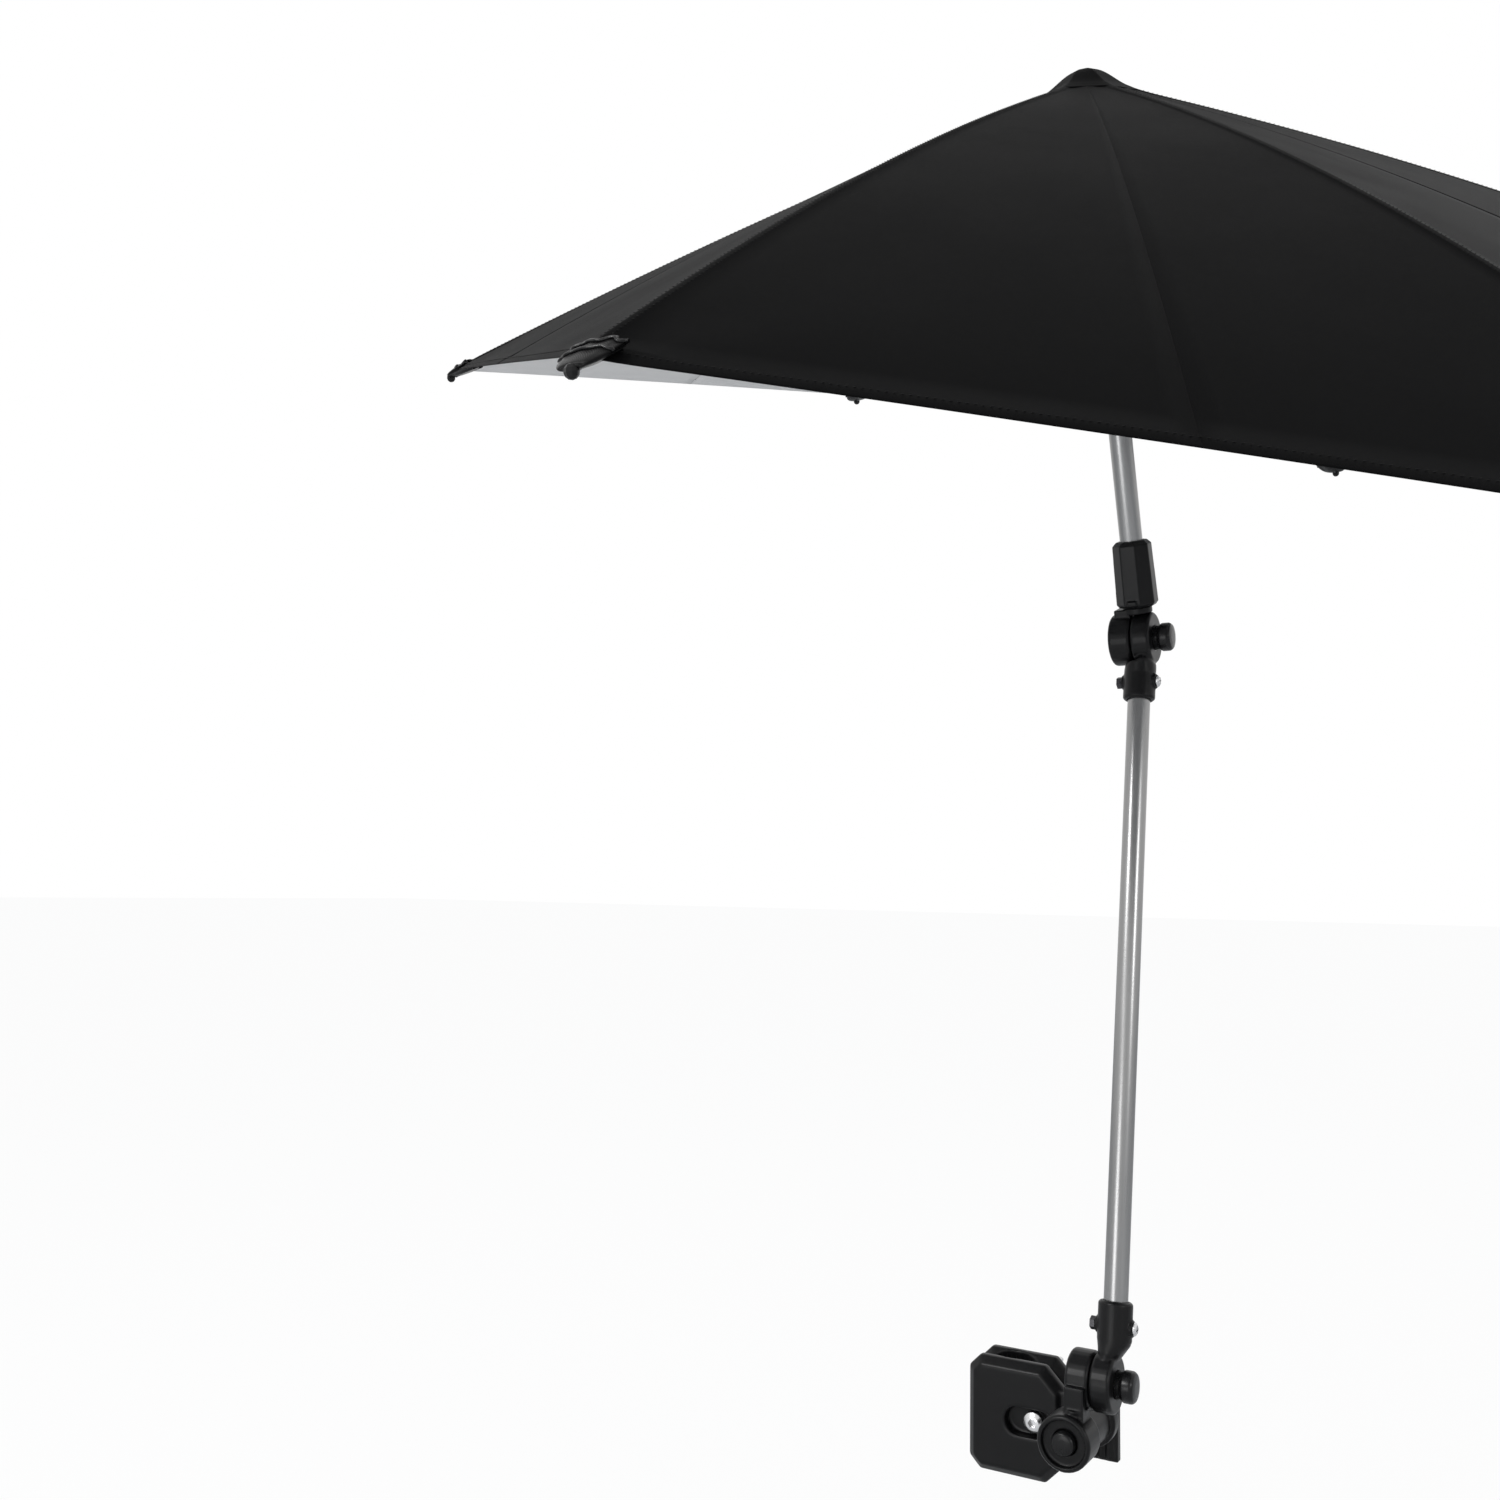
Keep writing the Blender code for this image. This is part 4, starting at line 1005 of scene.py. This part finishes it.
def tip_frame(rib):
    """A link at the rib's tip: Z out of the cloth, X along the rib and outwards."""
    inner = cloth_over_rib(rib, rib["reach"] - 0.03)
    out = (rib["tip"] - inner).normalized()
    normal = out.cross(across_rib(rib))
    if normal.z < 0:
        normal = -normal
    return canopy @ link(rib["tip"], out, normal)


POCKET_LONG, POCKET_WIDE, POCKET_HIGH, POCKET_THICK = metres(22, 15, 3.4, 0.8)
POCKET_BACK, POCKET_DROP = metres(15, 2.4)           # mouth behind the tip, middle below it


def pocket_point(along, turn, grow=0.0):
    """A point of the pocket: along from its mouth (0) to its nose (1), turn round it."""
    shrink = math.sqrt(max(1 - along ** 2.2, 0.0))
    width = (POCKET_WIDE + grow) * (0.25 + 0.75 * shrink) if along < 1 else 0.0
    height = (POCKET_HIGH + grow) * (0.15 + 0.85 * shrink) if along < 1 else 0.0
    frill = 1.2 * MM * math.cos(7 * turn) * (1 - along) ** 2
    sag = 0.0 if math.sin(turn) > 0 else 1.1 * MM * (0.5 + 0.5 * math.cos(5 * turn)) * (1 - along)
    pleat = 1 + 0.05 * math.sin(9 * turn) * (1 - along)
    return Vector((along * POCKET_LONG - POCKET_BACK - frill, width * math.cos(turn) * pleat,
                   height * math.sin(turn) * pleat - POCKET_DROP - sag))


def tip_pocket(rib):
    """A flat pocket, open towards the crown and frilled along its mouth."""
    shape = bmesh.new()
    chart_layer = shape.loops.layers.uv.new("UVMap")
    rings, around = 18, 84
    grid = [[shape.verts.new(pocket_point(i / rings, 2 * math.pi * j / around)) for j in range(around)]
            for i in range(rings)]
    nose = shape.verts.new((POCKET_LONG - POCKET_BACK, 0, -POCKET_DROP))
    for i in range(rings):
        for j in range(around):
            after = (j + 1) % around
            corners = [grid[i][j], grid[i][after]]
            corners += [grid[i + 1][after], grid[i + 1][j]] if i < rings - 1 else [nose]
            face = shape.faces.new(corners)
            face.smooth = True
            for loop, (column, row) in zip(face.loops, ((j, i), (j + 1, i), (j + 1, i + 1), (j, i + 1))):
                loop[chart_layer].uv = (column * 0.8 * MM, row * 1.2 * MM)
    bmesh.ops.recalc_face_normals(shape, faces=shape.faces)
    middle_line = Vector((0, 0, -POCKET_DROP))
    if sum(f.normal.dot(f.calc_center_median() - middle_line) for f in shape.faces) < 0:
        bmesh.ops.reverse_faces(shape, faces=shape.faces)
    return thickened(mesh_of(shape, "pocket", tip_frame(rib)), POCKET_THICK)


def pocket_piping(rib):
    """Two cords sewn over the pocket, which catch the light as bright arcs."""
    place = tip_frame(rib)
    lines = []
    for along in (0.12, 0.46):
        arc = [pocket_point(along, math.radians(4 + 172 * i / 40), 0.5 * MM) for i in range(41)]
        lines.append([place @ p for p in arc])
    return rods.run(lines, Radius=0.75 * MM, Material=button_plastic)


def sewn_piece(kind, rib, mesh, finish=None, *nodes):
    """A piece of cloth or thread that rides on its rib."""
    return keep_mesh(kind + "_" + rib["name"], mesh, finish, "rib_" + rib["name"], "black_fabric", *nodes)


total = 0.0
for index, rib in enumerate(RIBS):
    before, after = RIBS[index - 1], RIBS[(index + 1) % len(RIBS)]
    mesh, area, (span, reach) = cloth_share(index)
    cloth = sewn_piece("cloth", rib, mesh, None, "petal_" + rib["name"])
    sewn = bars.run(stitch_paths(rib, before, after), Pitch=STITCH, Size=metres(2.2, 0.4, 0.3),
                    Up=tuple(mast_way), Material=thread_finish)
    stitches = sewn_piece("stitches", rib, sewn)
    pocket = sewn_piece("pocket", rib, tip_pocket(rib), webbing)
    piping = sewn_piece("piping", rib, pocket_piping(rib))
    "rib_" + rib["name"]
    gathers(cloth, rib)
    gathers(stitches, rib)
    total += area
keep_mesh("peak_cover", peak_cover(), black_cloth, "mast", "black_fabric", "top_cap")
print("cloth in the canopy:", round(total, 3), "square metres")

# %% [markdown]
# ## Ribs and stretchers
# The ribs and stretchers are coated steel wire. The same paths as the solid parts, swept with a
# rounder section, take a cleaner highlight along their length.

# %% Round wire
STRETCHER_REACH, RUNNER_DROP, RUNNER_PIVOT = 140 * MM, 95 * MM, 20 * MM
BESIDE_RIB = 3.4 * MM              # a stretcher runs beside its rib


def wire(name, line, radius):
    """A steel wire in place of the solid of that name."""
    mesh = rods.run([line], Radius=radius, Material=dark_steel)
    keep_mesh("wire_" + name, mesh, None, name, "dark_steel", name)


for rib in RIBS:
    plane = canopy @ Matrix.Rotation(rib["azimuth"], 4, "Z")
    line = []
    for step in range(41):
        radius = HINGE_RADIUS + (rib["reach"] + 1.5 * MM - HINGE_RADIUS) * step / 40
        line.append(plane @ Vector((radius, 0, -rib_drop(rib, radius))))
    wire("rib_" + rib["name"], line, 1.6 * MM)
    radius = HINGE_RADIUS + STRETCHER_REACH
    ends = [plane @ Vector((radius, BESIDE_RIB, -rib_drop(rib, radius))),
            plane @ Vector((RUNNER_PIVOT, BESIDE_RIB, -RUNNER_DROP))]
    wire("stretcher_" + rib["name"], ends, 1.5 * MM)
print("ribs and stretchers:", 2 * len(RIBS))

# %% [markdown]
# ## Rubber in the jaws
# Bare plastic would slip on a stroller's tube and scratch it, so each groove has upright rubber
# ridges. The tree that lays the stitches also lays them round the groove's arc.

# %% Groove ridges
GROOVE_RADIUS, GROOVE_DEPTH = 28 * MM, 9 * MM       # the arc, and its floor from the grip's middle
for jaw, sign, body in (("front", -1, "clamp"), ("rear", 1, "rear_jaw")):
    arc = []
    for step in range(25):
        angle = math.radians(-24 + 2 * step)
        away = GROOVE_DEPTH - GROOVE_RADIUS + GROOVE_RADIUS * math.cos(angle)
        arc.append(Vector((GROOVE_RADIUS * math.sin(angle), sign * away, 0)))
    ridge = bars.run([arc], Pitch=3.1 * MM, Size=metres(1.9, 1.5, 74), Up=(0.0, 0.0, 1.0),
                     Material=grip_rubber)
    keep_mesh(jaw + "_grip_ridges", ridge, None, body, "black_plastic")
print("ridges in both jaws")

# %% [markdown]
# ## Finishing the solids that stay
# Lock gears, springs, nuts, pins and rib ends keep the shape that they came with. They only need
# a finish in place of their plain colour.

# %% Finishes for the rest
for name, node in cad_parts.items():
    finish = black_plastic
    if name.endswith(("_lock_gear", "_spring", "_guide_pin")) or name == "runner_catch":
        finish = bright_steel
    elif name in ("knob_collar", "lower_nut", "middle_nut"):
        finish = dark_steel
    node.data.materials.clear()
    node.data.materials.append(finish)
print("finished solids:", len(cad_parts))

# %% [markdown]
# ## The floor
# The parasol hangs from a stroller's frame that isn't here, so the floor lies a hand's width
# below the clamp. To the camera it is nearly as white as the room, and it still takes a faint
# shadow.

# %% Floor
FLOOR_Z, FLOOR_HALF = -0.16, 30
floor_mesh = bpy.data.meshes.new("floor")
corners = [(x * FLOOR_HALF, y * FLOOR_HALF, FLOOR_Z) for x, y in ((-1, -1), (1, -1), (1, 1), (-1, 1))]
floor_mesh.from_pydata(corners, [], [(0, 1, 2, 3)])
floor = in_scene("floor", floor_mesh)
floor_finish = Finish("pale_floor")
floor_finish.set("Base Color", (0.86, 0.86, 0.86, 1))
floor_finish.set("Roughness", 0.9)
glow = floor_finish.node("ShaderNodeEmission", {"Color": (1, 1, 1, 1), "Strength": 1.0})
camera_ray = Signal(floor_finish.tree, floor_finish.node("ShaderNodeLightPath").outputs["Is Camera Ray"])
blend = floor_finish.node("ShaderNodeMixShader", {0: camera_ray * 0.93, 1: floor_finish.shader.outputs[0],
                                                  2: glow.outputs[0]})
feed(floor_finish.tree, blend.outputs[0], floor_finish.tree.nodes["Material Output"].inputs["Surface"])
floor_mesh.materials.append(floor_finish.material)
print("floor at", FLOOR_Z, "m")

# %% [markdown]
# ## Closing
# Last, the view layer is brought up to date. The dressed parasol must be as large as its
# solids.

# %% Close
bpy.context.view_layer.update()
